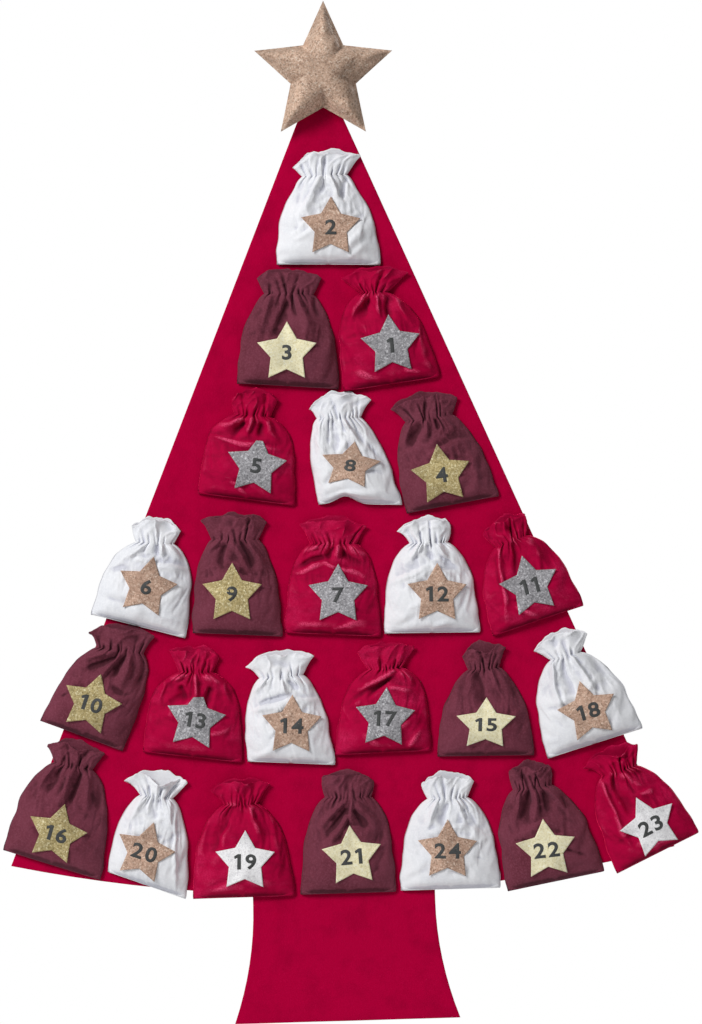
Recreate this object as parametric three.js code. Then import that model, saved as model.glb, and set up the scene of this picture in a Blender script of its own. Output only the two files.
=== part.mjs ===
// A wall-hung felt Christmas tree advent calendar: a felt panel on a hanging loop, a padded star on top,
// and 24 small gathered cloth bags, each with a glitter star patch glued to its front.
// Millimetres, +Z up, the front faces -Y. Heights are counted up from the trunk's bottom edge, and the
// whole group is lowered at the end so that the origin is the nail's point on the wall, on the centreline.
import * as THREE from "three";

// Felt panel
const feltThick = 3;
const edgeHeight = 126.5; // lowest point of the tree's bottom edge, on the centreline
const edgeArcRadius = 1450; // the bottom edge rises towards the corners on this radius
const treeHalfWidth = 331.5;
const tipHeight = 931;
const tipHalfWidth = 10;
const trunkHalfWidth = 91;
const trunkFlare = 21.5;
const trunkFlareHeight = 118;

// Clearances
const restGap = 0.3; // between pieces that touch
const patchGap = 1.15; // under a patch, measured on the smooth front of its bag

// Hanging loop and the nail that it hangs on
const loopCord = 2.4;
const loopRadius = 9; // to the cord's centre line
const loopTop = 972; // centre line at the top of the loop
const loopEndHeight = 917; // behind the star, above its lower notch
const nailRadius = 2;

// Padded top star
const starRight = 4; // it is sewn on a little to the right of the centreline
const starHeight = 945;
const starTipRadius = 72;
const starInnerRadius = 33.5;
const starTurn = -1.6; // degrees, positive is anticlockwise seen from the front
const starFrontCrown = 25;
const starBackCrown = 9;
const starSkin = 1.2;
const starSeam = 1.6; // flat rim where the two skins meet
const starTipDraw = 2.6; // a tip draws back this many times as far as the straight edges beside it

// Bags: sizes that all of them share, then a list with what differs
const bagDepth = 25;
const bagSeam = 2.4; // thickness at the side seams and along the bottom
const neckDepth = 13;
const hemDepth = 14;
const hemRise = 26; // from the drawn-in neck up to the hem
const collarDraw = 3; // how much the ruffle's sides draw in half way down to the neck
const hemArc = 7; // how much lower the hem's corners lie than its middle
const hemDip = 5; // how much lower the front of the mouth lies than its back
const mouthDip = 7; // depth of the hollow drawn in the closed mouth
const bottomDepth = 3; // thickness of the bag in front of its bottom seam
const bottomShare = 0.99; // of the full width, at the bottom seam
// A bag's body from the neck down: share of the drop, share of the way from the neck's width to the full
// width, and share of the full depth.
const bodyShares = [
  [0.08, 0.3, 0.72],
  [0.2, 0.68, 0.88],
  [0.36, 0.84, 1],
  [0.6, 0.92, 0.96],
  [0.8, 0.96, 0.72],
  [0.93, 0.99, 0.4],
];

// Star patches
const patchTipRadius = 31;
const patchInnerRadius = 16.8;
const patchThick = 1;
const patchRise = 36; // patch centre above the bag's bottom seam

// day, cloth, neck x, neck height, lean, turn, sway, width, neck, hem, drop, patch right, patch up, patch turn
// Angles are in degrees, anticlockwise seen from the front. Lean is that of the hem and the neck, and the
// body below turns further, by the whole of turn at the bottom seam. Sway is how far the bottom hangs to
// the right of the neck's own line, and drop is the length from the neck to the bottom seam.
const bagList = [
  [2, "white", 2, 844, 1, -3, 0, 104, 45, 68, 89, 4, 0, -3],
  [3, "burgundy", -37, 727, -3, -2, 1, 102, 49, 66, 92, -1, -3, 1],
  [1, "red", 48, 726, 0, 7, 15, 97, 27, 66, 92, 6, 2, 3],
  [5, "red", -77, 607, -6, -3, 0, 98, 36, 56, 84, 8, -2, -4],
  [8, "white", 9, 602, 0, -2, 19, 84, 44, 58, 87, -1, 3, -10],
  [4, "burgundy", 99, 599, 8, 1, 9, 94, 47, 66, 89, -3, -5, -1],
  [6, "white", -178, 483, -5, -11, -12, 98, 34, 52, 84, 2, 4, -10],
  [9, "burgundy", -98, 484, -2, -2, 3, 90, 50, 66, 95, -4, 5, 0],
  [7, "red", 0, 477, -2, -2, 0, 96, 46, 62, 91, 5, 4, 0],
  [12, "white", 95, 475, 0, -1, 1, 96, 45, 58, 90, 6, 3, -2],
  [11, "red", 177, 474, 20, -3, -4, 96, 49, 64, 84, 3, 0, -7],
  [10, "burgundy", -216, 377, -10, -12, -26, 88, 50, 66, 90, -4, -2, -10],
  [13, "red", -141, 353, -2, -6, -3, 100, 28, 52, 85, 2, 2, -9],
  [14, "white", -56, 346, 3, -7, 3, 88, 50, 62, 87, 5, 2, -6],
  [17, "red", 48, 351, 2, -1, -8, 96, 26, 57, 84, 1, -1, -7],
  [15, "burgundy", 146, 348, 3, -4, -5, 97, 40, 50, 87, 0, -4, -6],
  [18, "white", 228, 358, 14, 2, 5, 100, 41, 58, 92, 3, -2, 0],
  [16, "burgundy", -266, 263, -13, -6, -2, 102, 38, 54, 101, -1, -3, -5],
  [20, "white", -184, 230, -8, -13, 0, 83, 43, 58, 89, -5, -2, -11],
  [19, "red", -100, 220, 0, 0, 0, 102, 30, 54, 93, 3, 1, -2],
  [21, "burgundy", 7, 224, -1, 1, -1, 96, 46, 62, 96, 4, 2, 4],
  [24, "white", 106, 220, 1, -1, -1, 100, 43, 56, 91, -2, 4, -3],
  [22, "burgundy", 191, 228, 6, 4, 11, 99, 42, 52, 96, -2, -2, -1],
  [23, "red", 278, 242, 16, 9, 12, 92, 40, 60, 90, 5, -6, 9],
];

const cloths = {
  felt: { color: 0xa30034, roughness: 0.95, metalness: 0 },
  white: { color: 0xe1e4eb, roughness: 0.9, metalness: 0 },
  burgundy: { color: 0x70384c, roughness: 0.9, metalness: 0 },
  red: { color: 0xb00038, roughness: 0.75, metalness: 0 },
  filling: { color: 0xeeeeea, roughness: 1, metalness: 0 },
  cord: { color: 0xa30034, roughness: 0.7, metalness: 0 },
};
const glitters = {
  champagne: { color: 0xa5826e, roughness: 0.45, metalness: 0.6 },
  white: { color: 0xb48c78, roughness: 0.4, metalness: 0.6 },
  burgundy: { color: 0xbeb46e, roughness: 0.4, metalness: 0.6 },
  red: { color: 0xa5a5a8, roughness: 0.4, metalness: 0.6 },
};

const quarterHandle = 0.5523; // handle length, per radius, that makes a cubic curve a quarter circle
const wallHeight = loopTop - loopCord / 2 - nailRadius; // height of the nail's axis
const bagPlane = -(feltThick + restGap); // the bags' backs
const starSeat = bagPlane - loopCord - restGap; // rearmost point of the top star

function meshOf(name, geometry, finish) {
  const mesh = new THREE.Mesh(geometry, new THREE.MeshStandardMaterial(finish));
  mesh.name = name;
  return mesh;
}

// A closed skin over rings of points with a point closing each end. All rings have the same count and run
// clockwise as seen from the first end.
function loft(rings, firstEnd, lastEnd) {
  const count = rings[0].length;
  const points = [...rings.flat(), firstEnd, lastEnd];
  const first = points.length - 2;
  const last = points.length - 1;
  const faces = [];
  for (let j = 0; j < count; j++) {
    const k = (j + 1) % count;
    faces.push(first, k, j);
    for (let i = 0; i + 1 < rings.length; i++) {
      const a = i * count;
      const b = a + count;
      faces.push(a + j, a + k, b + k, a + j, b + k, b + j);
    }
    const end = (rings.length - 1) * count;
    faces.push(last, end + j, end + k);
  }
  const geometry = new THREE.BufferGeometry();
  geometry.setAttribute("position", new THREE.Float32BufferAttribute(points.flat(), 3));
  geometry.setIndex(faces);
  return geometry;
}

// A flat outline in X and Z, given as a shape, made solid from the wall plane forwards.
function slab(shape, thick, curveSegments) {
  const geometry = new THREE.ExtrudeGeometry(shape, { depth: thick, bevelEnabled: false, curveSegments });
  return geometry.rotateX(Math.PI / 2);
}

function treePanel() {
  const cornerHeight = edgeHeight + treeHalfWidth ** 2 / (2 * edgeArcRadius);
  const trunkTop = edgeHeight + trunkHalfWidth ** 2 / (2 * edgeArcRadius);
  const trunkFoot = trunkHalfWidth + trunkFlare;
  const shape = new THREE.Shape();
  // The bottom edge from a corner to the trunk is part of one parabola, so a quadratic curve holds it.
  const control = (treeHalfWidth + trunkHalfWidth) / 2;
  const controlHeight = edgeHeight + (treeHalfWidth * trunkHalfWidth) / (2 * edgeArcRadius);
  shape.moveTo(-trunkFoot, 0);
  shape.lineTo(trunkFoot, 0);
  shape.quadraticCurveTo(trunkHalfWidth, trunkFlareHeight / 2, trunkHalfWidth, trunkFlareHeight);
  shape.lineTo(trunkHalfWidth, trunkTop);
  shape.quadraticCurveTo(control, controlHeight, treeHalfWidth, cornerHeight);
  shape.lineTo(tipHalfWidth, tipHeight);
  shape.quadraticCurveTo(0, tipHeight + tipHalfWidth, -tipHalfWidth, tipHeight);
  shape.lineTo(-treeHalfWidth, cornerHeight);
  shape.quadraticCurveTo(-control, controlHeight, -trunkHalfWidth, trunkTop);
  shape.lineTo(-trunkHalfWidth, trunkFlareHeight);
  shape.quadraticCurveTo(-trunkHalfWidth, trunkFlareHeight / 2, -trunkFoot, 0);
  return slab(shape, feltThick, 8);
}

// The cord goes up, round the nail and down again, with both ends lying on the felt behind the star.
function hangingLoop() {
  const path = new THREE.CurvePath();
  const y = bagPlane - loopCord / 2;
  const turnHeight = loopTop - loopRadius;
  path.add(
    new THREE.LineCurve3(
      new THREE.Vector3(-loopRadius, y, loopEndHeight),
      new THREE.Vector3(-loopRadius, y, turnHeight),
    ),
  );
  const kink = loopRadius * quarterHandle;
  path.add(
    new THREE.CubicBezierCurve3(
      new THREE.Vector3(-loopRadius, y, turnHeight),
      new THREE.Vector3(-loopRadius, y, turnHeight + kink),
      new THREE.Vector3(-kink, y, loopTop),
      new THREE.Vector3(0, y, loopTop),
    ),
  );
  path.add(
    new THREE.CubicBezierCurve3(
      new THREE.Vector3(0, y, loopTop),
      new THREE.Vector3(kink, y, loopTop),
      new THREE.Vector3(loopRadius, y, turnHeight + kink),
      new THREE.Vector3(loopRadius, y, turnHeight),
    ),
  );
  path.add(
    new THREE.LineCurve3(
      new THREE.Vector3(loopRadius, y, turnHeight),
      new THREE.Vector3(loopRadius, y, loopEndHeight),
    ),
  );
  const section = new THREE.Shape();
  const sides = 8;
  for (let i = 0; i < sides; i++) {
    const turn = ((i + 0.5) / sides) * 2 * Math.PI;
    const x = (loopCord / 2) * Math.cos(turn);
    const z = (loopCord / 2) * Math.sin(turn);
    if (i === 0) section.moveTo(x, z);
    else section.lineTo(x, z);
  }
  return new THREE.ExtrudeGeometry(section, { steps: 44, extrudePath: path, bevelEnabled: false });
}

// Points round a five-pointed star, clockwise from the front, with the same number of steps on each edge.
function starOutline(tipRadius, innerRadius, turn, steps) {
  const corner = (i) => {
    const radius = i % 2 === 0 ? tipRadius : innerRadius;
    const angle = THREE.MathUtils.degToRad(90 + turn - i * 36);
    return [radius * Math.cos(angle), radius * Math.sin(angle)];
  };
  const points = [];
  for (let i = 0; i < 10; i++) {
    const [ax, az] = corner(i);
    const [bx, bz] = corner(i + 1);
    for (let s = 0; s < steps; s++) {
      points.push([ax + ((bx - ax) * s) / steps, az + ((bz - az) * s) / steps]);
    }
  }
  return points;
}

// How much of the crown stands over a point at this share of the way from the star's centre to its edge.
const crownShare = (share) => Math.pow(1 - Math.pow(share, 1.3), 0.8);
const backShare = (share) => Math.pow(1 - Math.pow(share, 3), 0.8);

const starShares = [1, 0.86, 0.68, 0.46, 0.22];
const starPlane = starSeat - starBackCrown; // where the front and back skins meet

function starRing(share, inset, y) {
  const tip = starTipRadius - starTipDraw * inset;
  const outline = starOutline(tip, starInnerRadius - inset, starTurn, 3);
  return outline.map(([x, z]) => [x * share + starRight, y, z * share + starHeight]);
}

// A skin of the star: out over one surface from the centre to the seam, and back under the other.
function starSkinGeometry(side, crown, shareOf) {
  const seam = starPlane + side * (restGap / 2);
  const outer = (share) => seam + side * (starSeam + (crown - starSeam) * shareOf(share));
  const inner = (share) => seam + side * ((crown - starSkin) * shareOf(share));
  const rings = [];
  for (const share of [...starShares].reverse()) rings.push(starRing(share, 0, outer(share)));
  rings.push(starRing(1, 0, seam));
  rings.push(starRing(1, starSkin, seam));
  for (const share of starShares.slice(1)) rings.push(starRing(share, starSkin, inner(share)));
  const ends = [
    [starRight, outer(0), starHeight],
    [starRight, inner(0), starHeight],
  ];
  if (side > 0) return loft(rings.reverse(), ends[1], ends[0]);
  return loft(rings, ends[0], ends[1]);
}

function starFilling() {
  const inset = starSkin + restGap;
  const front = (share) => starPlane - (starFrontCrown - inset - restGap) * crownShare(share);
  const back = (share) => starPlane + (starBackCrown - inset - restGap) * backShare(share);
  const rings = [];
  for (const share of [...starShares].reverse()) rings.push(starRing(share, inset, front(share)));
  for (const share of starShares.slice(1)) rings.push(starRing(share, inset, back(share)));
  return loft(rings, [starRight, front(0), starHeight], [starRight, back(0), starHeight]);
}

// The stations of one bag, from the hem down: distance below the hem, half width, depth, and the sideways
// shift and tilt of its middle.
function bagStations(bag) {
  const { width, neck, hem, drop, sway, turn } = bag;
  const between = (share) => (neck + (width - neck) * share) / 2;
  const collar = (share, half, depth) => ({ v: hemRise * share, half, depth, shift: 0, tilt: 0 });
  const body = (share, half, depth) => ({
    v: hemRise + drop * share,
    half,
    depth,
    shift: sway * share,
    tilt: THREE.MathUtils.degToRad(turn) * share,
  });
  return [
    collar(0, hem / 2, hemDepth),
    collar(0.5, hem / 2 - collarDraw, hemDepth + 1),
    collar(1, neck / 2, neckDepth),
    ...bodyShares.map(([share, widening, deep]) => body(share, between(widening), bagDepth * deep)),
    body(1, between(bottomShare), bottomDepth),
  ];
}

// A place on a station's own line, given as a distance to the right of its middle.
const alongStation = (station, right) => [
  station.shift + right * Math.cos(station.tilt),
  station.v - right * Math.sin(station.tilt),
];

const frontShare = (across) => Math.pow(Math.max(0, 1 - across * across), 0.7);
const frontDepth = (depth, across) => bagSeam + (depth - bagSeam) * frontShare(across);

// The station at a distance below the hem, mixed from the two that it lies between.
function stationAt(stations, v) {
  const low = Math.max(1, stations.findIndex((station) => station.v >= v));
  const a = stations[low - 1];
  const b = stations[low];
  const mix = (v - a.v) / (b.v - a.v);
  const blend = (key) => a[key] + (b[key] - a[key]) * mix;
  return { v, half: blend("half"), depth: blend("depth"), shift: blend("shift"), tilt: blend("tilt") };
}

// Depth of the bag's front at a place given across and below the hem. The tilted station through the
// place is found in a few steps.
function frontAt(stations, u, v) {
  let station = stationAt(stations, v);
  for (let i = 0; i < 4; i++) {
    const level = v + (u - station.shift) * Math.tan(station.tilt);
    station = stationAt(stations, Math.min(level, stations.at(-1).v));
  }
  const across = (u - station.shift) / (station.half * Math.cos(station.tilt));
  return frontDepth(station.depth, Math.min(1, Math.abs(across)));
}

// A bag in its own frame: the hinge line along the back of the hem is its origin, and it hangs down.
function bagGeometry(bag) {
  const steps = 8;
  const stations = bagStations(bag);
  const rings = stations.map((station, level) => {
    const point = (across, depth) => {
      const [u, v] = alongStation(station, across * station.half);
      const lowered = hemArc * across * across + (hemDip * depth) / station.depth;
      return [u, -depth, -v - (level === 0 ? lowered : 0)];
    };
    const ring = [point(1, 0)];
    for (let i = 0; i <= steps; i++) {
      const across = Math.cos((i / steps) * Math.PI);
      ring.push(point(across, frontDepth(station.depth, across)));
    }
    ring.push(point(-1, 0), point(0, 0));
    return ring;
  });
  const bottom = stations.at(-1);
  const mouth = [0, -hemDepth / 2, -hemDip / 2 - mouthDip];
  return loft(rings, mouth, [bottom.shift, -bottom.depth / 2, -bottom.v]);
}

// A patch lies on the front of its bag and bends with it.
function patchGeometry(bag) {
  const stations = bagStations(bag);
  const middle = stationAt(stations, hemRise + bag.drop - patchRise);
  const centre = middle.shift + bag.patchRight;
  const level = middle.v - bag.patchUp;
  const outline = starOutline(patchTipRadius, patchInnerRadius, bag.patchTurn, 2);
  const lift = (x, z, extra) => {
    const u = centre + x;
    const v = level - z;
    return [u, -(frontAt(stations, u, v) + patchGap + extra), -v];
  };
  const ring = (share, extra) => outline.map(([x, z]) => lift(x * share, z * share, extra));
  const shares = [0.35, 0.7, 1];
  const rings = [
    ...shares.map((share) => ring(share, patchThick)),
    ...shares.toReversed().map((share) => ring(share, 0)),
  ];
  return loft(rings, lift(0, 0, patchThick), lift(0, 0, 0));
}

const calendar = new THREE.Group();
calendar.position.z = -wallHeight;
calendar.add(meshOf("tree_panel", treePanel(), cloths.felt));
calendar.add(meshOf("hanging_loop", hangingLoop(), cloths.cord));
calendar.add(meshOf("top_star_front", starSkinGeometry(-1, starFrontCrown, crownShare), glitters.champagne));
calendar.add(meshOf("top_star_back", starSkinGeometry(1, starBackCrown, backShare), glitters.champagne));
calendar.add(meshOf("top_star_filling", starFilling(), cloths.filling));

for (const row of bagList) {
  const [day, cloth, x, z, lean, turn, sway, width, neck, hem, drop, patchRight, patchUp, patchTurn] = row;
  const bag = { turn, sway, width, neck, hem, drop, patchRight, patchUp, patchTurn };
  const angle = THREE.MathUtils.degToRad(lean);
  const hung = new THREE.Group();
  hung.position.set(x - hemRise * Math.sin(angle), bagPlane, z + hemRise * Math.cos(angle));
  hung.rotation.y = -angle;
  const number = String(day).padStart(2, "0");
  hung.add(meshOf("bag_" + number, bagGeometry(bag), cloths[cloth]));
  hung.add(meshOf("star_patch_" + number, patchGeometry(bag), glitters[cloth]));
  calendar.add(hung);
}

export default calendar;
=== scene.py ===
import math
import random

import bmesh
import bpy
import numpy as np
from mathutils import Matrix, Vector, noise
from mathutils.bvhtree import BVHTree


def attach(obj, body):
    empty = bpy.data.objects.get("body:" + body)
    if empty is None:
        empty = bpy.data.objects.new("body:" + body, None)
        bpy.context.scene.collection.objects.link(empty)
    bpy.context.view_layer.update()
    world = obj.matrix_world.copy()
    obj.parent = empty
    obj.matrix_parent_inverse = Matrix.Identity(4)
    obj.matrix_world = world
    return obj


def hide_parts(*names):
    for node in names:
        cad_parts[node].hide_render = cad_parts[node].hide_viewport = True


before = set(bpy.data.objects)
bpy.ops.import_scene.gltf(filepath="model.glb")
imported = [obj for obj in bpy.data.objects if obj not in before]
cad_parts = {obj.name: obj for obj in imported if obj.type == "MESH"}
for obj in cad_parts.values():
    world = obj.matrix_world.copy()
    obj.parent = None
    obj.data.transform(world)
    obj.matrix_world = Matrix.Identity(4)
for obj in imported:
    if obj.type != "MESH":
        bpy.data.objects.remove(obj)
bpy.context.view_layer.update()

# Felt tree advent calendar. Lengths are in millimetres in the dictionaries below and in metres in the meshes.
# The wall is the plane y = 0, the front faces -Y and the nail is at the origin.
mm = 0.001
noise.seed_set(1)  # unseeded, the vector noise starts from the clock, and each run would differ
print("frame loaded:", len(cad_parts), "nodes")


# Small helpers

black, white = (0, 0, 0, 1), (1, 1, 1, 1)


def tint(red, green, blue):
    # screen colour, 0 to 255, as the linear colour that a shader takes
    parts = []
    for value in (red, green, blue):
        share = value / 255
        parts.append(share / 12.92 if share <= 0.04045 else ((share + 0.055) / 1.055) ** 2.4)
    return (*parts, 1.0)


def smoothStep(low, high, value):
    share = min(1.0, max(0.0, (value - low) / (high - low)))
    return share * share * (3 - 2 * share)


def curveAt(points, at):
    # smooth curve through (place, value) points
    if at <= points[0][0]:
        return points[0][1]
    if at >= points[-1][0]:
        return points[-1][1]
    i = 0
    while points[i + 1][0] < at:
        i += 1
    (x0, y0), (x1, y1) = points[i], points[i + 1]
    before = points[max(0, i - 1)]
    after = points[min(len(points) - 1, i + 2)]
    span = x1 - x0
    slope0 = (y1 - before[1]) / (x1 - before[0])
    slope1 = (after[1] - y0) / (after[0] - x0)
    t = (at - x0) / span
    stay = (2 * t ** 3 - 3 * t ** 2 + 1) * y0 + (3 * t ** 2 - 2 * t ** 3) * y1
    return stay + span * ((t ** 3 - 2 * t ** 2 + t) * slope0 + (t ** 3 - t ** 2) * slope1)


def makeObject(name, bm, material):
    mesh = bpy.data.meshes.new(name)
    bm.to_mesh(mesh)
    bm.free()
    for polygon in mesh.polygons:
        polygon.use_smooth = True
    obj = bpy.data.objects.new(name, mesh)
    bpy.context.collection.objects.link(obj)
    obj.data.materials.append(material)
    return obj


def thicken(obj, thickness, offset):
    modifier = obj.modifiers.new("thickness", "SOLIDIFY")
    modifier.thickness = thickness
    modifier.offset = offset
    modifier.use_even_offset = False


def takeEvaluated(obj):
    # keeps the modified shape as the object's own mesh
    graph = bpy.context.evaluated_depsgraph_get()
    mesh = bpy.data.meshes.new_from_object(obj.evaluated_get(graph))
    obj.modifiers.clear()
    obj.data = mesh


def runCloth(obj, clothSettings, gravity, frames):
    # blows or drops an object's mesh as cloth and keeps the shape of the last frame
    cloth = obj.modifiers.new("cloth", "CLOTH")
    for key, value in clothSettings.items():
        setattr(cloth.settings, key, value)
    cloth.settings.effector_weights.gravity = gravity
    cloth.collision_settings.use_collision = False
    cloth.point_cache.frame_start = 1
    cloth.point_cache.frame_end = frames
    for number in range(1, frames + 1):
        bpy.context.scene.frame_set(number)
    takeEvaluated(obj)
    bpy.context.scene.frame_set(1)


def cutAcross(bm, axis, place, dist):
    # cuts the whole mesh through at a place along x (axis 0) or z (axis 2)
    spot, normal = [0.0] * 3, [0.0] * 3
    spot[axis], normal[axis] = place, 1.0
    bmesh.ops.bisect_plane(
        bm, geom=[*bm.verts, *bm.edges, *bm.faces], plane_co=spot, plane_no=normal, dist=dist,
    )


def evenLevel(v):
    # mean height of a vertex's neighbours
    return sum(e.other_vert(v).co.y for e in v.link_edges) / len(v.link_edges)


def surfaceOf(obj):
    points = [v.co.copy() for v in obj.data.vertices]
    return BVHTree.FromPolygons(points, [tuple(p.vertices) for p in obj.data.polygons])


def frontOf(surface, x, z):
    # where a ray from the front meets a surface, or nothing
    hit = surface.ray_cast(Vector((x, -1.0, z)), Vector((0, 1, 0)))
    return None if hit[0] is None else hit[0].y


def faceOutwards(bm, side):
    # on an open shell, the foremost face tells which way is out: side is -1 for one that bulges to the front
    bmesh.ops.recalc_face_normals(bm, faces=bm.faces)
    outer = sorted(bm.faces, key=lambda f: side * f.calc_center_median().y)[-len(bm.faces) // 10:]
    if sum(f.normal.y * side for f in outer) < 0:
        bmesh.ops.reverse_faces(bm, faces=bm.faces)


def declare(obj, body, slotName=None, *nodes):
    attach(obj, body)
    if nodes:
        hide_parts(*nodes)


# Materials

def startMaterial(name, roughness, **sockets):
    material = bpy.data.materials.new(name)
    material.use_nodes = True
    shader = material.node_tree.nodes["Principled BSDF"]
    shader.inputs["Roughness"].default_value = roughness
    for key, value in sockets.items():
        shader.inputs[key.replace("_", " ")].default_value = value
    return material


def addNode(material, kind, values=None, **settings):
    node = material.node_tree.nodes.new(kind)
    for key, value in settings.items():
        setattr(node, key, value)
    for key, value in (values or {}).items():
        if isinstance(value, bpy.types.NodeSocket):
            material.node_tree.links.new(value, node.inputs[key])
        else:
            node.inputs[key].default_value = value
    return node


def noiseValue(material, coords, scale, detail=3.0, rough=0.6, stretch=None):
    if stretch is not None:
        coords = addNode(material, "ShaderNodeMapping", {"Vector": coords, "Scale": stretch}).outputs["Vector"]
    return addNode(
        material, "ShaderNodeTexNoise",
        {"Vector": coords, "Scale": scale, "Detail": detail, "Roughness": rough},
    ).outputs["Fac"]


def ramp(material, value, stops):
    node = addNode(material, "ShaderNodeValToRGB", {"Fac": value})
    elements = node.color_ramp.elements
    while len(elements) < len(stops):
        elements.new(0.5)
    for element, (place, colour) in zip(elements, stops):
        element.position = place
        element.color = colour
    return node.outputs["Color"]


def blendColours(material, share, first, second, kind="MIX"):
    node = addNode(material, "ShaderNodeMix", data_type="RGBA", blend_type=kind)
    links = material.node_tree.links
    for key, value in ((0, share), (6, first), (7, second)):
        if isinstance(value, bpy.types.NodeSocket):
            links.new(value, node.inputs[key])
        else:
            node.inputs[key].default_value = value
    return node.outputs[2]


def bumpOn(material, height, strength, distance, normal=None):
    values = {"Height": height, "Strength": strength, "Distance": distance}
    if normal is not None:
        values["Normal"] = normal
    return addNode(material, "ShaderNodeBump", values).outputs["Normal"]


def plug(material, socketName, value):
    shader = material.node_tree.nodes["Principled BSDF"]
    material.node_tree.links.new(value, shader.inputs[socketName])


def objectCoords(material):
    return addNode(material, "ShaderNodeTexCoord").outputs["Object"]


feltLook = {
    "colour": tint(178, 0, 56),
    "deep": tint(164, 0, 51),
    "fibre": tint(190, 10, 68),
    "fibreScale": 900.0,
    "mottleScale": 42.0,
}


def feltMaterial():
    material = startMaterial("treeFelt", 0.95, Specular_IOR_Level=0.02)
    coords = objectCoords(material)
    fibres = noiseValue(material, coords, feltLook["fibreScale"], 4.0, 0.75)
    tangled = noiseValue(material, coords, feltLook["fibreScale"] * 0.4, 3.0, 0.7, (1.0, 1.0, 0.35))
    mottle = noiseValue(material, coords, feltLook["mottleScale"], 4.0, 0.6)
    colour = feltLook["colour"]
    base = ramp(material, mottle, [(0.32, feltLook["deep"]), (0.55, colour), (0.75, colour)])
    specks = ramp(material, fibres, [(0.5, black), (0.78, white)])
    plug(material, "Base Color", blendColours(material, specks, base, feltLook["fibre"]))
    soft = bumpOn(material, tangled, 0.35, 0.0006)
    plug(material, "Normal", bumpOn(material, fibres, 0.5, 0.0004, soft))
    return material


cottonLook = {
    "white": {
        "colour": tint(238, 239, 243), "shade": tint(228, 230, 236), "nap": tint(246, 247, 250),
        # valley is painted shade, multiplied into the hollows of the folds
        "valleyShade": tint(224, 224, 230),
        "sheen": 0.1, "sheenTint": tint(255, 255, 255), "thread": 0.25,
    },
    "burgundy": {
        "colour": tint(112, 50, 66), "shade": tint(98, 40, 54), "nap": tint(130, 66, 84),
        "valleyShade": tint(176, 164, 168),
        "sheen": 0.15, "sheenTint": tint(220, 150, 175), "thread": 0.5,
    },
    "threadPitch": 0.00055,
}


def clothUv(material):
    return addNode(material, "ShaderNodeUVMap", uv_map="cloth").outputs["UV"]


def threadBump(material, strength, normal=None):
    # warp and weft threads as two crossed bands on the cloth's own map, which is in metres
    uv = clothUv(material)
    scale = 0.314 / cottonLook["threadPitch"]  # a band's wave is 0.314 / scale long
    across, along = [addNode(
        material, "ShaderNodeTexWave",
        {"Vector": uv, "Scale": scale, "Distortion": 1.2, "Detail": 1.0, "Detail Scale": 0.3},
        wave_type="BANDS", bands_direction=direction,
    ).outputs["Fac"] for direction in "XY"]
    woven = addNode(material, "ShaderNodeMath", {0: across, 1: along}, operation="MULTIPLY").outputs[0]
    return bumpOn(material, woven, strength, 0.00012, normal)


def ridgeShare(material, reach):
    # 0 in a valley, 0.5 on even cloth, 1 on a ridge
    ridge = addNode(material, "ShaderNodeAttribute", attribute_name="ridge").outputs["Fac"]
    return addNode(
        material, "ShaderNodeMapRange", {"Value": ridge, "From Min": -reach, "From Max": reach},
    ).outputs["Result"]


def cottonMaterial(cloth):
    look = cottonLook[cloth]
    material = startMaterial(
        cloth + "Cotton", 0.9, Specular_IOR_Level=0.2,
        Sheen_Weight=look["sheen"], Sheen_Roughness=0.5, Sheen_Tint=look["sheenTint"],
    )
    coords = objectCoords(material)
    nap = noiseValue(material, coords, 520.0, 4.0, 0.7)
    slub = noiseValue(material, clothUv(material), 130.0, 3.0, 0.6, (0.3, 4.0, 1.0))
    mottle = noiseValue(material, coords, 34.0, 3.0, 0.5)
    base = ramp(material, mottle, [(0.3, look["shade"]), (0.6, look["colour"])])
    napped = ramp(material, nap, [(0.45, black), (0.8, white)])
    worn = blendColours(material, napped, base, look["nap"])
    # painted shade: the colour is darkened in the hollows of the folds, from the ridge attribute
    foldShading = ramp(material, ridgeShare(material, 1.6), [(0.08, look["valleyShade"]), (0.44, white)])
    plug(material, "Base Color", blendColours(material, 1.0, worn, foldShading, "MULTIPLY"))
    crumpled = noiseValue(material, coords, 110.0, 3.0, 0.55)
    lumps = bumpOn(material, crumpled, 0.3, 0.0012, bumpOn(material, mottle, 0.3, 0.0015))
    soft = bumpOn(material, slub, 0.3, 0.0004, lumps)
    rough = bumpOn(material, nap, 0.35, 0.0003, soft)
    plug(material, "Normal", threadBump(material, look["thread"], rough))
    return material


velvetLook = {
    "colour": tint(174, 0, 58),
    "deep": tint(152, 0, 50),
    "crushed": tint(204, 34, 88),
    # valley is painted shade in the folds' hollows, ridge a painted highlight along their crests
    "valleyShade": tint(110, 0, 36),
    "ridge": tint(236, 82, 128),
    "sheenTint": tint(255, 40, 96),
}


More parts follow.
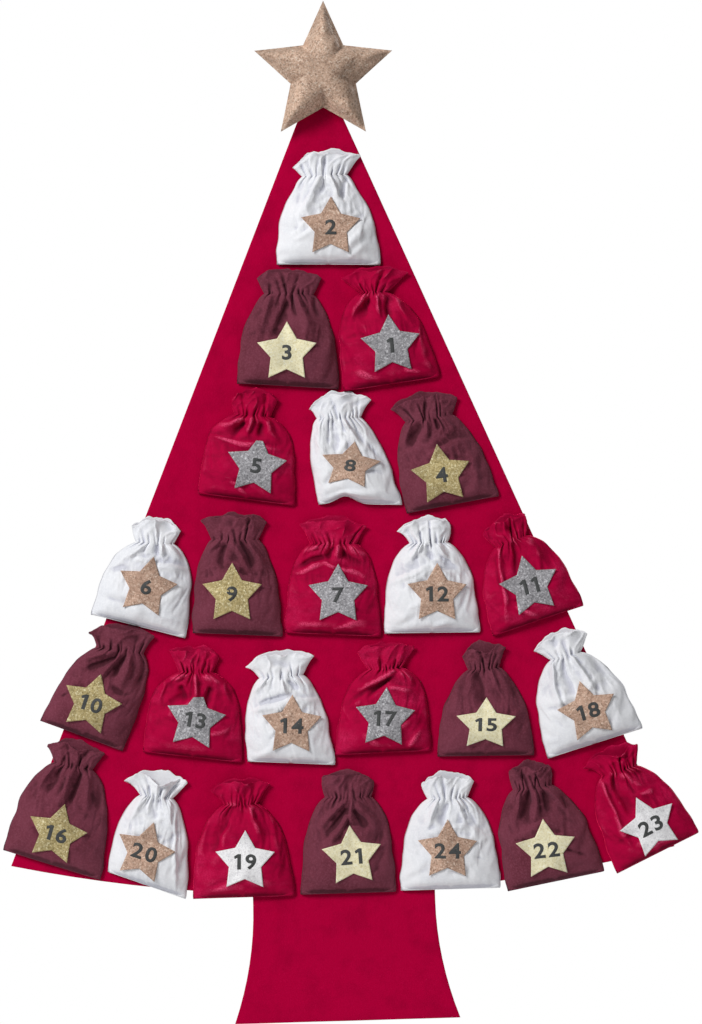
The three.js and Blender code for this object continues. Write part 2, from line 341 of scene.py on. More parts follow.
def velvetMaterial():
    material = startMaterial(
        "redVelvet", 0.75, Specular_IOR_Level=0.06,
        Sheen_Weight=0.85, Sheen_Roughness=0.3, Sheen_Tint=velvetLook["sheenTint"],
    )
    coords = objectCoords(material)
    pile = noiseValue(material, coords, 750.0, 3.0, 0.7)
    brushed = noiseValue(material, coords, 85.0, 5.0, 0.65, (0.55, 1.0, 1.3))
    crushed = noiseValue(material, coords, 30.0, 5.0, 0.65, (0.7, 1.0, 1.2))
    base = ramp(material, brushed, [(0.3, velvetLook["deep"]), (0.55, velvetLook["colour"])])
    patches = ramp(material, crushed, [(0.5, black), (0.72, (0.9, 0.9, 0.9, 1))])
    grain = ramp(material, pile, [(0.38, (0.1, 0.1, 0.1, 1)), (0.6, white)])
    lint = ramp(material, pile, [(0.62, black), (0.82, (0.7, 0.7, 0.7, 1))])
    worn = blendColours(
        material, blendColours(material, 1.0, patches, grain, "MULTIPLY"), base, velvetLook["crushed"],
    )
    linty = blendColours(material, lint, worn, velvetLook["crushed"])
    # painted light from the fold heights: painted shade in the valleys, and a painted highlight on the ridges broken
    # up by the pile's grain
    foldShading = ridgeShare(material, 2.8)
    low = ramp(material, foldShading, [(0.08, white), (0.45, black)])
    high = ramp(material, foldShading, [(0.64, black), (0.95, white)])
    shaded = blendColours(material, low, linty, velvetLook["valleyShade"])
    ridgeHighlight = blendColours(material, 1.0, high, grain, "MULTIPLY")
    plug(material, "Base Color", blendColours(material, ridgeHighlight, shaded, velvetLook["ridge"]))
    lay = bumpOn(material, brushed, 0.4, 0.0012)
    plug(material, "Normal", bumpOn(material, pile, 0.5, 0.0004, lay))
    return material


# spark is a painted glint that a random share of the flakes takes
glitterKinds = {
    "champagne": {"dark": tint(126, 97, 80), "colour": tint(218, 185, 162), "spark": tint(255, 240, 222)},
    "roseGold": {"dark": tint(142, 112, 95), "colour": tint(206, 171, 150), "spark": tint(255, 232, 212)},
    "gold": {"dark": tint(132, 116, 72), "colour": tint(196, 178, 128), "spark": tint(255, 246, 205)},
    # the pale kinds are the same gold and silver glitter in a lighter copy, a painted highlight for patches that catch
    # the light
    "highlitGold": {"dark": tint(220, 208, 160), "colour": tint(252, 244, 206), "spark": tint(255, 255, 238)},
    "silver": {"dark": tint(108, 107, 111), "colour": tint(170, 168, 172), "spark": tint(248, 248, 252)},
    "highlitSilver": {"dark": tint(214, 212, 216), "colour": tint(252, 251, 253), "spark": tint(255, 255, 255)},
}
glitterLook = {"flakeScale": 950.0, "coarser": 0.6, "cloudScale": 26.0, "cloud": tint(222, 222, 222)}


def flakeValues(material, coords, scale):
    # three random values for each flake
    flakes = addNode(material, "ShaderNodeTexVoronoi", {"Vector": coords, "Scale": scale, "Randomness": 1.0})
    return addNode(material, "ShaderNodeSeparateColor", {"Color": flakes.outputs["Color"]}).outputs


def glitterMaterial(kind):
    look = glitterKinds[kind]
    material = startMaterial(kind + "Glitter", 0.6, Specular_IOR_Level=0.08)
    coords = objectCoords(material)
    shine = flakeValues(material, coords, glitterLook["flakeScale"])
    grain = flakeValues(material, coords, glitterLook["flakeScale"] * glitterLook["coarser"])
    # each flake takes a random colour from dark to spark; the spark end is a painted glint
    fine, broad = [ramp(
        material, value, [(0.0, look["dark"]), (first, look["colour"]), (last, look["colour"]), (1.0, look["spark"])],
    ) for value, first, last in ((shine["Red"], 0.45, 0.75), (grain["Green"], 0.4, 0.9))]
    patchy = noiseValue(material, coords, glitterLook["cloudScale"], 2.0, 0.5)
    cloud = ramp(material, patchy, [(0.35, glitterLook["cloud"]), (0.6, white)])
    mixed = blendColours(material, 0.5, fine, broad)
    plug(material, "Base Color", blendColours(material, 1.0, mixed, cloud, "MULTIPLY"))
    rough = addNode(
        material, "ShaderNodeMapRange", {"Value": shine["Blue"], "To Min": 0.4, "To Max": 0.75},
    ).outputs["Result"]
    plug(material, "Roughness", rough)
    plug(material, "Normal", bumpOn(material, shine["Green"], 0.6, 0.00035))
    return material


def grainyMaterial(material, grain, dark, pale, bump=None):
    # the plainest finish: noise of a scale, detail and roughness between two colours, and a bump on it
    value = noiseValue(material, objectCoords(material), *grain)
    plug(material, "Base Color", ramp(material, value, [(0.3, tint(*dark)), (0.7, tint(*pale))]))
    if bump:
        plug(material, "Normal", bumpOn(material, value, *bump))
    return material


def inkMaterial():
    ink = startMaterial("numberInk", 0.6, Specular_IOR_Level=0.35)
    return grainyMaterial(ink, (900.0, 3.0, 0.6), (44, 46, 46), (66, 68, 68), (0.4, 0.0002))


def cordMaterial():
    cord = startMaterial("loopCord", 0.75, Specular_IOR_Level=0.3, Sheen_Weight=0.2, Sheen_Roughness=0.5)
    return grainyMaterial(cord, (1400.0, 3.0, 0.7, (1.0, 1.0, 0.25)), (128, 0, 40), (176, 8, 60), (0.5, 0.0002))


def fillingMaterial():
    wool = startMaterial("starFilling", 1.0, Specular_IOR_Level=0.1, Sheen_Weight=0.2, Sheen_Roughness=0.6)
    return grainyMaterial(wool, (160.0, 6.0, 0.8), (214, 214, 210), (244, 244, 241), (0.8, 0.0015))


def floorMaterial():
    floor = startMaterial("paleFloor", 0.8, Specular_IOR_Level=0.2)
    return grainyMaterial(floor, (3.0, 2.0, 0.5), (226, 226, 226), (230, 230, 230))


materials = {
    "felt": feltMaterial(),
    "white": cottonMaterial("white"),
    "burgundy": cottonMaterial("burgundy"),
    "red": velvetMaterial(),
    **{kind: glitterMaterial(kind) for kind in glitterKinds},
    "ink": inkMaterial(),
    "cord": cordMaterial(),
    "filling": fillingMaterial(),
    "floor": floorMaterial(),
}
print("materials made:", len(materials))


# Felt tree, cut from the frame's own panel

feltCut = {
    "edgeRound": 0.8,
    "cell": 7.0,           # the felt is cut into cells of this size, so that it can bend
    "trunkCurl": 2.2,
    "unevenness": 0.12,
    "wallHeight": 968.8,   # the nail above the bottom of the trunk
}


def makeTree():
    bm = bmesh.new()
    bm.from_mesh(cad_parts["tree_panel"].data)
    bmesh.ops.remove_doubles(bm, verts=bm.verts, dist=1e-5)
    bmesh.ops.dissolve_limit(bm, angle_limit=math.radians(1), verts=bm.verts, edges=bm.edges)
    rim = [e for e in bm.edges if abs(e.verts[0].co.y - e.verts[1].co.y) < 1e-5]
    bmesh.ops.bevel(
        bm, geom=rim, offset=feltCut["edgeRound"] * mm, offset_type="OFFSET", affect="EDGES",
        segments=2, profile=0.5, material=-1, clamp_overlap=True,
    )
    low = [min(v.co[i] for v in bm.verts) for i in range(3)]
    high = [max(v.co[i] for v in bm.verts) for i in range(3)]
    step = feltCut["cell"] * mm
    for axis in (0, 2):
        place = low[axis] + step
        while place < high[axis] - step / 2:
            cutAcross(bm, axis, place, 1e-6)
            place += step
    foot = low[2]
    for v in bm.verts:
        # the free bottom of the trunk curls forward a little and waves
        up = (v.co.z - foot) / mm
        free = 1 - smoothStep(0, 95, up)
        wave = 0.5 + 0.5 * noise.noise(Vector((v.co.x * 14, 3.1, v.co.z * 9)))
        v.co.y -= feltCut["trunkCurl"] * mm * free * wave
        v.co.y -= feltCut["unevenness"] * mm * (0.5 + 0.5 * noise.noise(Vector((v.co.x * 30, 0, v.co.z * 30))))
    obj = makeObject("feltTree", bm, materials["felt"])
    declare(obj, "calendar", "tree_felt", "tree_panel")
    return obj


# Hanging loop, three strands laid together

loopLook = {"cord": 2.4, "radius": 9.0, "top": 972.0, "end": 917.0, "strands": 3, "layLength": 9.0, "plane": 3.3}


def loopPath():
    radius = loopLook["radius"]
    turnHeight = loopLook["top"] - radius
    points = []
    for i in range(31):
        points.append((-radius, loopLook["end"] + (turnHeight - loopLook["end"]) * i / 30))
    for i in range(1, 24):
        angle = math.pi * (1 - i / 24)
        points.append((radius * math.cos(angle), turnHeight + radius * math.sin(angle)))
    for i in range(31):
        points.append((radius, turnHeight - (turnHeight - loopLook["end"]) * i / 30))
    return points


def makeLoop():
    points = loopPath()
    centre = -(loopLook["plane"] + loopLook["cord"] / 2)
    strandRadius = loopLook["cord"] / 2 * 0.46
    swing = loopLook["cord"] / 2 - strandRadius
    bm = bmesh.new()
    for strand in range(loopLook["strands"]):
        curve = bpy.data.curves.new("strand", "CURVE")
        curve.dimensions = "3D"
        curve.bevel_depth = strandRadius * mm
        curve.bevel_resolution = 2
        curve.use_fill_caps = True
        spline = curve.splines.new("POLY")
        spline.points.add(len(points) - 1)
        run = 0.0
        for i, (x, z) in enumerate(points):
            ahead = points[min(i + 1, len(points) - 1)]
            behind = points[max(i - 1, 0)]
            tangent = Vector((ahead[0] - behind[0], 0, ahead[1] - behind[1])).normalized()
            side = Vector((tangent.z, 0, -tangent.x))
            if i:
                run += math.hypot(x - points[i - 1][0], z - points[i - 1][1])
            angle = 2 * math.pi * (run / loopLook["layLength"] + strand / loopLook["strands"])
            place = Vector((x, centre, z - feltCut["wallHeight"]))
            place += side * (swing * math.cos(angle)) + Vector((0, swing * math.sin(angle), 0))
            spline.points[i].co = (*(place * mm), 1)
        holder = bpy.data.objects.new("strand", curve)
        bpy.context.collection.objects.link(holder)
        graph = bpy.context.evaluated_depsgraph_get()
        bm.from_mesh(bpy.data.meshes.new_from_object(holder.evaluated_get(graph)))
        bpy.data.objects.remove(holder)
    bmesh.ops.remove_doubles(bm, verts=bm.verts, dist=1e-6)
    bmesh.ops.recalc_face_normals(bm, faces=bm.faces)
    obj = makeObject("hangingLoop", bm, materials["cord"])
    declare(obj, "calendar", "loop_cord", "hanging_loop")
    return obj


# Padded star

starLook = {
    "right": 4.0, "height": 945.0, "tip": 72.0, "inner": 33.5, "turn": -1.6,
    "frontCrown": 24.0, "backCrown": 8.6, "plane": 15.0, "lip": 1.2, "lipThick": 0.5, "skin": 0.4,
    "cuts": 15, "frames": 26,
    "fullAt": 0.16, "blown": 0.1, "evenRounds": 10, "thinner": 0.35, "seamSpare": 1.05,
}

starCloth = {
    "quality": 6, "mass": 0.15, "tension_stiffness": 30, "compression_stiffness": 30, "shear_stiffness": 12,
    "bending_stiffness": 0.6, "use_pressure": True, "uniform_pressure_force": 3.2,
}

# soft dents in the star's front: right, up, reach right, reach up, turn in degrees, depth
starDents = [
    (9, 36, 5, 10, -20, 3.0), (13, 17, 9, 4, 35, 2.6), (27, -1, 17, 6, 42, 5.5), (-26, 4, 10, 5, -35, 3.0),
    (1, -27, 14, 6, 0, 3.4), (22, -27, 8, 3, 10, 2.4), (29, -36, 3, 8, 10, 2.2), (-14, 20, 5, 8, 30, 1.6),
]


def dentAt(x, z):
    depth = 0.0
    for right, up, wide, tall, turn, deep in starDents:
        angle = math.radians(turn)
        across = (x - right) * math.cos(angle) + (z - up) * math.sin(angle)
        along = (z - up) * math.cos(angle) - (x - right) * math.sin(angle)
        depth += deep * math.exp(-((across / wide) ** 2) - (along / tall) ** 2)
    return depth


def starTriangles(bm, tipRadius, innerRadius, turn, cuts):
    # star in the x-z plane round the origin, as ten fans of even triangles
    bmesh.ops.create_circle(bm, cap_ends=True, cap_tris=True, segments=10, radius=1.0)
    rim = [v for v in bm.verts if v.co.length > 0.5]
    for v in rim:
        step = round((math.atan2(v.co.y, v.co.x) - math.pi / 2) / (math.pi / 5))
        radius = tipRadius if step % 2 == 0 else innerRadius
        angle = math.radians(90 + turn) + step * math.pi / 5
        v.co = Vector((radius * math.cos(angle), 0, radius * math.sin(angle)))
    bmesh.ops.subdivide_edges(bm, edges=bm.edges, cuts=cuts, use_grid_fill=True)


def edgeShare(x, z, tipRadius, innerRadius, turn):
    # 0 at the star's centre, 1 on its outline
    radius = math.hypot(x, z)
    if radius < 1e-9:
        return 0.0
    angle = (math.atan2(z, x) - math.radians(90 + turn)) % (2 * math.pi / 5)
    if angle > math.pi / 5:
        angle = 2 * math.pi / 5 - angle
    innerX = innerRadius * math.cos(math.pi / 5)
    innerY = innerRadius * math.sin(math.pi / 5)
    reach = tipRadius * innerY / (innerY * math.cos(angle) + (tipRadius - innerX) * math.sin(angle))
    return radius / reach


def starPillow():
    # two flat stars sewn at the rim and blown up, in units of 100 mm
    look = starLook
    tip = look["tip"] / 100 * look["seamSpare"]
    inner = look["inner"] / 100 * look["seamSpare"]
    bm = bmesh.new()
    starTriangles(bm, tip, inner, look["turn"], look["cuts"])
    front = list(bm.verts)
    copied = bmesh.ops.duplicate(bm, geom=[*bm.verts, *bm.edges, *bm.faces])
    back = [item for item in copied["geom"] if isinstance(item, bmesh.types.BMVert)]
    for side, group in ((-1, front), (1, back)):
        for v in group:
            share = edgeShare(v.co.x, v.co.z, tip, inner, look["turn"])
            lift = 0.05 * max(0.0, 1 - share) ** 0.6
            if share < 0.98:
                lift += 0.012 * noise.noise(Vector((v.co.x * 4, side * 3.0, v.co.z * 4)))
            v.co.y = side * lift if share < 0.995 else 0.0
    bmesh.ops.remove_doubles(bm, verts=bm.verts, dist=1e-4)
    bmesh.ops.recalc_face_normals(bm, faces=bm.faces)
    obj = makeObject("starPillow", bm, materials["champagne"])
    cut = [v.co.copy() for v in obj.data.vertices]
    runCloth(obj, starCloth, 0.0, look["frames"])
    fillOut(obj, cut, tip, inner)
    return obj


def seamDistance(x, z, tip, inner):
    # from a point of the flat star to the nearest seam
    corners = []
    for step in range(10):
        angle = math.radians(90 + starLook["turn"]) + step * math.pi / 5
        radius = tip if step % 2 == 0 else inner
        corners.append(Vector((radius * math.cos(angle), radius * math.sin(angle))))
    spot = Vector((x, z))
    nearest = 9.0
    for first, second in zip(corners, corners[1:] + corners[:1]):
        run = second - first
        share = max(0.0, min(1.0, (spot - first).dot(run) / run.length_squared))
        nearest = min(nearest, (spot - first - run * share).length)
    return nearest


def fillOut(pillow, cut, tip, inner):
    # filling keeps the star's cut and rounds its middle, where blowing up alone leaves a pinch
    look = starLook
    bm = bmesh.new()
    bm.from_mesh(pillow.data)
    bm.verts.ensure_lookup_table()
    deep = {side: max(v.co.y * side for v in bm.verts) for side in (-1, 1)}
    for v, flat in zip(bm.verts, cut):
        side = -1 if flat.y < 0 else 1
        blown = max(0.0, v.co.y * side / deep[side])
        near = min(1.0, seamDistance(flat.x, flat.z, tip, inner) / look["fullAt"])
        filled = math.sqrt(1 - (1 - near) ** 2)
        filled *= 1 - look["thinner"] * (math.hypot(flat.x, flat.z) / tip) ** 2
        v.co = Vector((flat.x, side * (look["blown"] * blown + (1 - look["blown"]) * filled), flat.z))
    seam = {v for v in bm.verts if abs(v.co.y) < 0.02}
    for _ in range(look["evenRounds"]):
        level = {v: evenLevel(v) for v in bm.verts}
        for v in bm.verts:
            if v not in seam:
                v.co.y += 0.8 * (level[v] - v.co.y)
    bm.to_mesh(pillow.data)
    bm.free()


def makeStar():
    look = starLook
    pillow = starPillow()
    centre = Vector((look["right"], -look["plane"], look["height"] - feltCut["wallHeight"]))
    reach = max(math.hypot(v.co.x, v.co.z) for v in pillow.data.vertices)
    flat = (look["tip"] - look["lip"]) / reach
    deepFront = max(-v.co.y for v in pillow.data.vertices)
    deepBack = max(v.co.y for v in pillow.data.vertices)
    for side, crown, deep, name, node in (
        (-1, look["frontCrown"], deepFront, "starFront", "top_star_front"),
        (1, look["backCrown"], deepBack, "starBack", "top_star_back"),
    ):
        bm = bmesh.new()
        bm.from_mesh(pillow.data)
        bm.verts.ensure_lookup_table()
        wrong = [
            f for f in bm.faces if f.normal.y * side < 0 and f.calc_center_median().y * side <= 0.004
        ]
        bmesh.ops.delete(bm, geom=wrong, context="FACES")
        for v in bm.verts:
            lift = max(0.0, v.co.y * side / deep)
            x, z = v.co.x * flat, v.co.z * flat
            inside = smoothStep(0.05, 0.4, lift)
            dent = 1.6 * noise.noise(Vector((x * 0.045 + 7, side * 5.0, z * 0.045))) * inside
            dent += 0.7 * noise.noise(Vector((x * 0.11, side * 9.0, z * 0.11))) * inside
            if side < 0:
                dent -= dentAt(x, z) * smoothStep(0.0, 0.3, lift)
            height = max(look["lipThick"], crown * lift + dent - 1.0)
            v.co = (centre + Vector((x, side * height, z))) * mm
        rim = [e for e in bm.edges if e.is_boundary]
        grown = bmesh.ops.extrude_edge_only(bm, edges=rim)
        for v in grown["geom"]:
            if isinstance(v, bmesh.types.BMVert):
                away = Vector((v.co.x - centre.x * mm, 0, v.co.z - centre.z * mm))
                v.co += away.normalized() * look["lip"] * mm
        faceOutwards(bm, side)
        obj = makeObject(name, bm, materials["champagne"])
        thicken(obj, look["skin"] * mm, -1)
        declare(obj, "calendar", "champagne_glitter", node)
    # loose filling inside both skins
    bm = bmesh.new()
    bm.from_mesh(pillow.data)
    for v in bm.verts:
        side = -1 if v.co.y < 0 else 1
        crown, deep = (look["frontCrown"], deepFront) if side < 0 else (look["backCrown"], deepBack)
        lump = 0.5 * noise.noise(v.co * 9)
        height = max(0.0, (crown - 6) * abs(v.co.y) / deep * 0.8 + lump - 0.6)
        height = max(0.0, height - (1.3 * dentAt(v.co.x * flat, v.co.z * flat) if side < 0 else 0.0))
        v.co = (centre + Vector((v.co.x * flat * 0.9, side * height, v.co.z * flat * 0.9))) * mm
    bmesh.ops.recalc_face_normals(bm, faces=bm.faces)
    filling = makeObject("starFilling", bm, materials["filling"])
    declare(filling, "calendar", "star_filling", "top_star_filling")
    bpy.data.objects.remove(pillow)


# Bags. Every bag starts as a grid wrapped round, gathered at the neck and laid on the felt. A short cloth
# simulation lets its body settle between the gathers and the bottom seam, and the folds are laid on after it.

bagLook = {
    "hemRise": 26.0,       # from the neck up to the hem
    "hemArc": 7.0,         # the hem's corners lie this much lower
    "hemDip": 3.0,         # the front of the mouth lies this much lower
    "hemDepth": 9.0,
    "neckDepth": 11.5,
    "cloth": 0.8,
    "bottomLift": 5.0,     # how far the bottom seam stands off the bag's back
    "back": 3.4,           # the bags' backs, in front of the wall
    "frontColumns": 110,
    "backColumns": 28,
    "ruffleRows": 17,
    "bodyRows": 50,
    "flatWider": 4.0,      # guessed allowance in the width of a flat layer, for the seams
    "flatLonger": 5.0,     # guessed allowance in its length, for hem, seam and slack
    "seamCorner": 1.6,     # how far the corners of the bottom seam stand off
    "hollowShare": 0.55,   # the part of the room behind the cloth that a hollow may take
    "steepShare": 0.5,     # a fold's steep side is this much narrower
}

# share of the drop, depth in the middle of the front
bodyDepths = [
    (0.06, 12.0), (0.16, 11.0), (0.27, 10.5), (0.38, 14.5), (0.55, 18.5), (0.78, 16.5), (0.93, 11.5), (1.0, 6.5),
]

# day, cloth, neck x, neck height, lean, turn, sway, width, neck, hem, drop, patch right, patch up, patch turn
bagRows = [
    (2, "white", 2, 844, 1, -3, 0, 104, 45, 68, 89, 4, 0, -3),
    (3, "burgundy", -37, 727, -3, -2, 1, 102, 49, 66, 92, -1, -3, 1),
    (1, "red", 48, 726, 0, 7, 15, 97, 27, 66, 92, 6, 2, 3),
    (5, "red", -77, 607, -6, -3, 0, 98, 36, 56, 84, 8, -2, -4),
    (8, "white", 9, 602, 0, -2, 19, 84, 44, 58, 87, -1, 3, -10),
    (4, "burgundy", 99, 599, 8, 1, 9, 94, 47, 66, 89, -3, -5, -1),
    (6, "white", -178, 483, -5, -11, -12, 98, 34, 52, 84, 2, 4, -10),
    (9, "burgundy", -98, 484, -2, -2, 3, 90, 50, 66, 95, -4, 5, 0),
    (7, "red", 0, 477, -2, -2, 0, 96, 46, 62, 91, 5, 4, 0),
    (12, "white", 95, 475, 0, -1, 1, 96, 45, 58, 90, 6, 3, -2),
    (11, "red", 177, 474, 20, -3, -4, 96, 49, 64, 84, 3, 0, -7),
    (10, "burgundy", -216, 377, -10, -12, -26, 88, 50, 66, 90, -4, -2, -10),
    (13, "red", -141, 353, -2, -6, -3, 100, 28, 52, 85, 2, 2, -9),
    (14, "white", -56, 346, 3, -7, 3, 88, 50, 62, 87, 5, 2, -6),
    (17, "red", 48, 351, 2, -1, -8, 96, 26, 57, 84, 1, -1, -7),
    (15, "burgundy", 146, 348, 3, -4, -5, 97, 40, 50, 87, 0, -4, -6),
    (18, "white", 228, 358, 14, 2, 5, 100, 41, 58, 92, 3, -2, 0),
    (16, "burgundy", -266, 263, -13, -6, -2, 102, 38, 54, 101, -1, -3, -5),
    (20, "white", -184, 230, -8, -13, 0, 83, 43, 58, 89, -5, -2, -11),
    (19, "red", -100, 220, 0, 0, 0, 102, 30, 54, 93, 3, 1, -2),
    (21, "burgundy", 7, 224, -1, 1, -1, 96, 46, 62, 96, 4, 2, 4),
    (24, "white", 106, 220, 1, -1, -1, 100, 43, 56, 91, -2, 4, -3),
    (22, "burgundy", 191, 228, 6, 4, 11, 99, 42, 52, 96, -2, -2, -1),
    (23, "red", 278, 242, 16, 9, 12, 92, 40, 60, 90, 5, -6, 9),
]
rowNames = ("day", "cloth", "x", "z", "lean", "turn", "sway", "width", "neck", "hem", "drop",
            "patchRight", "patchUp", "patchTurn")

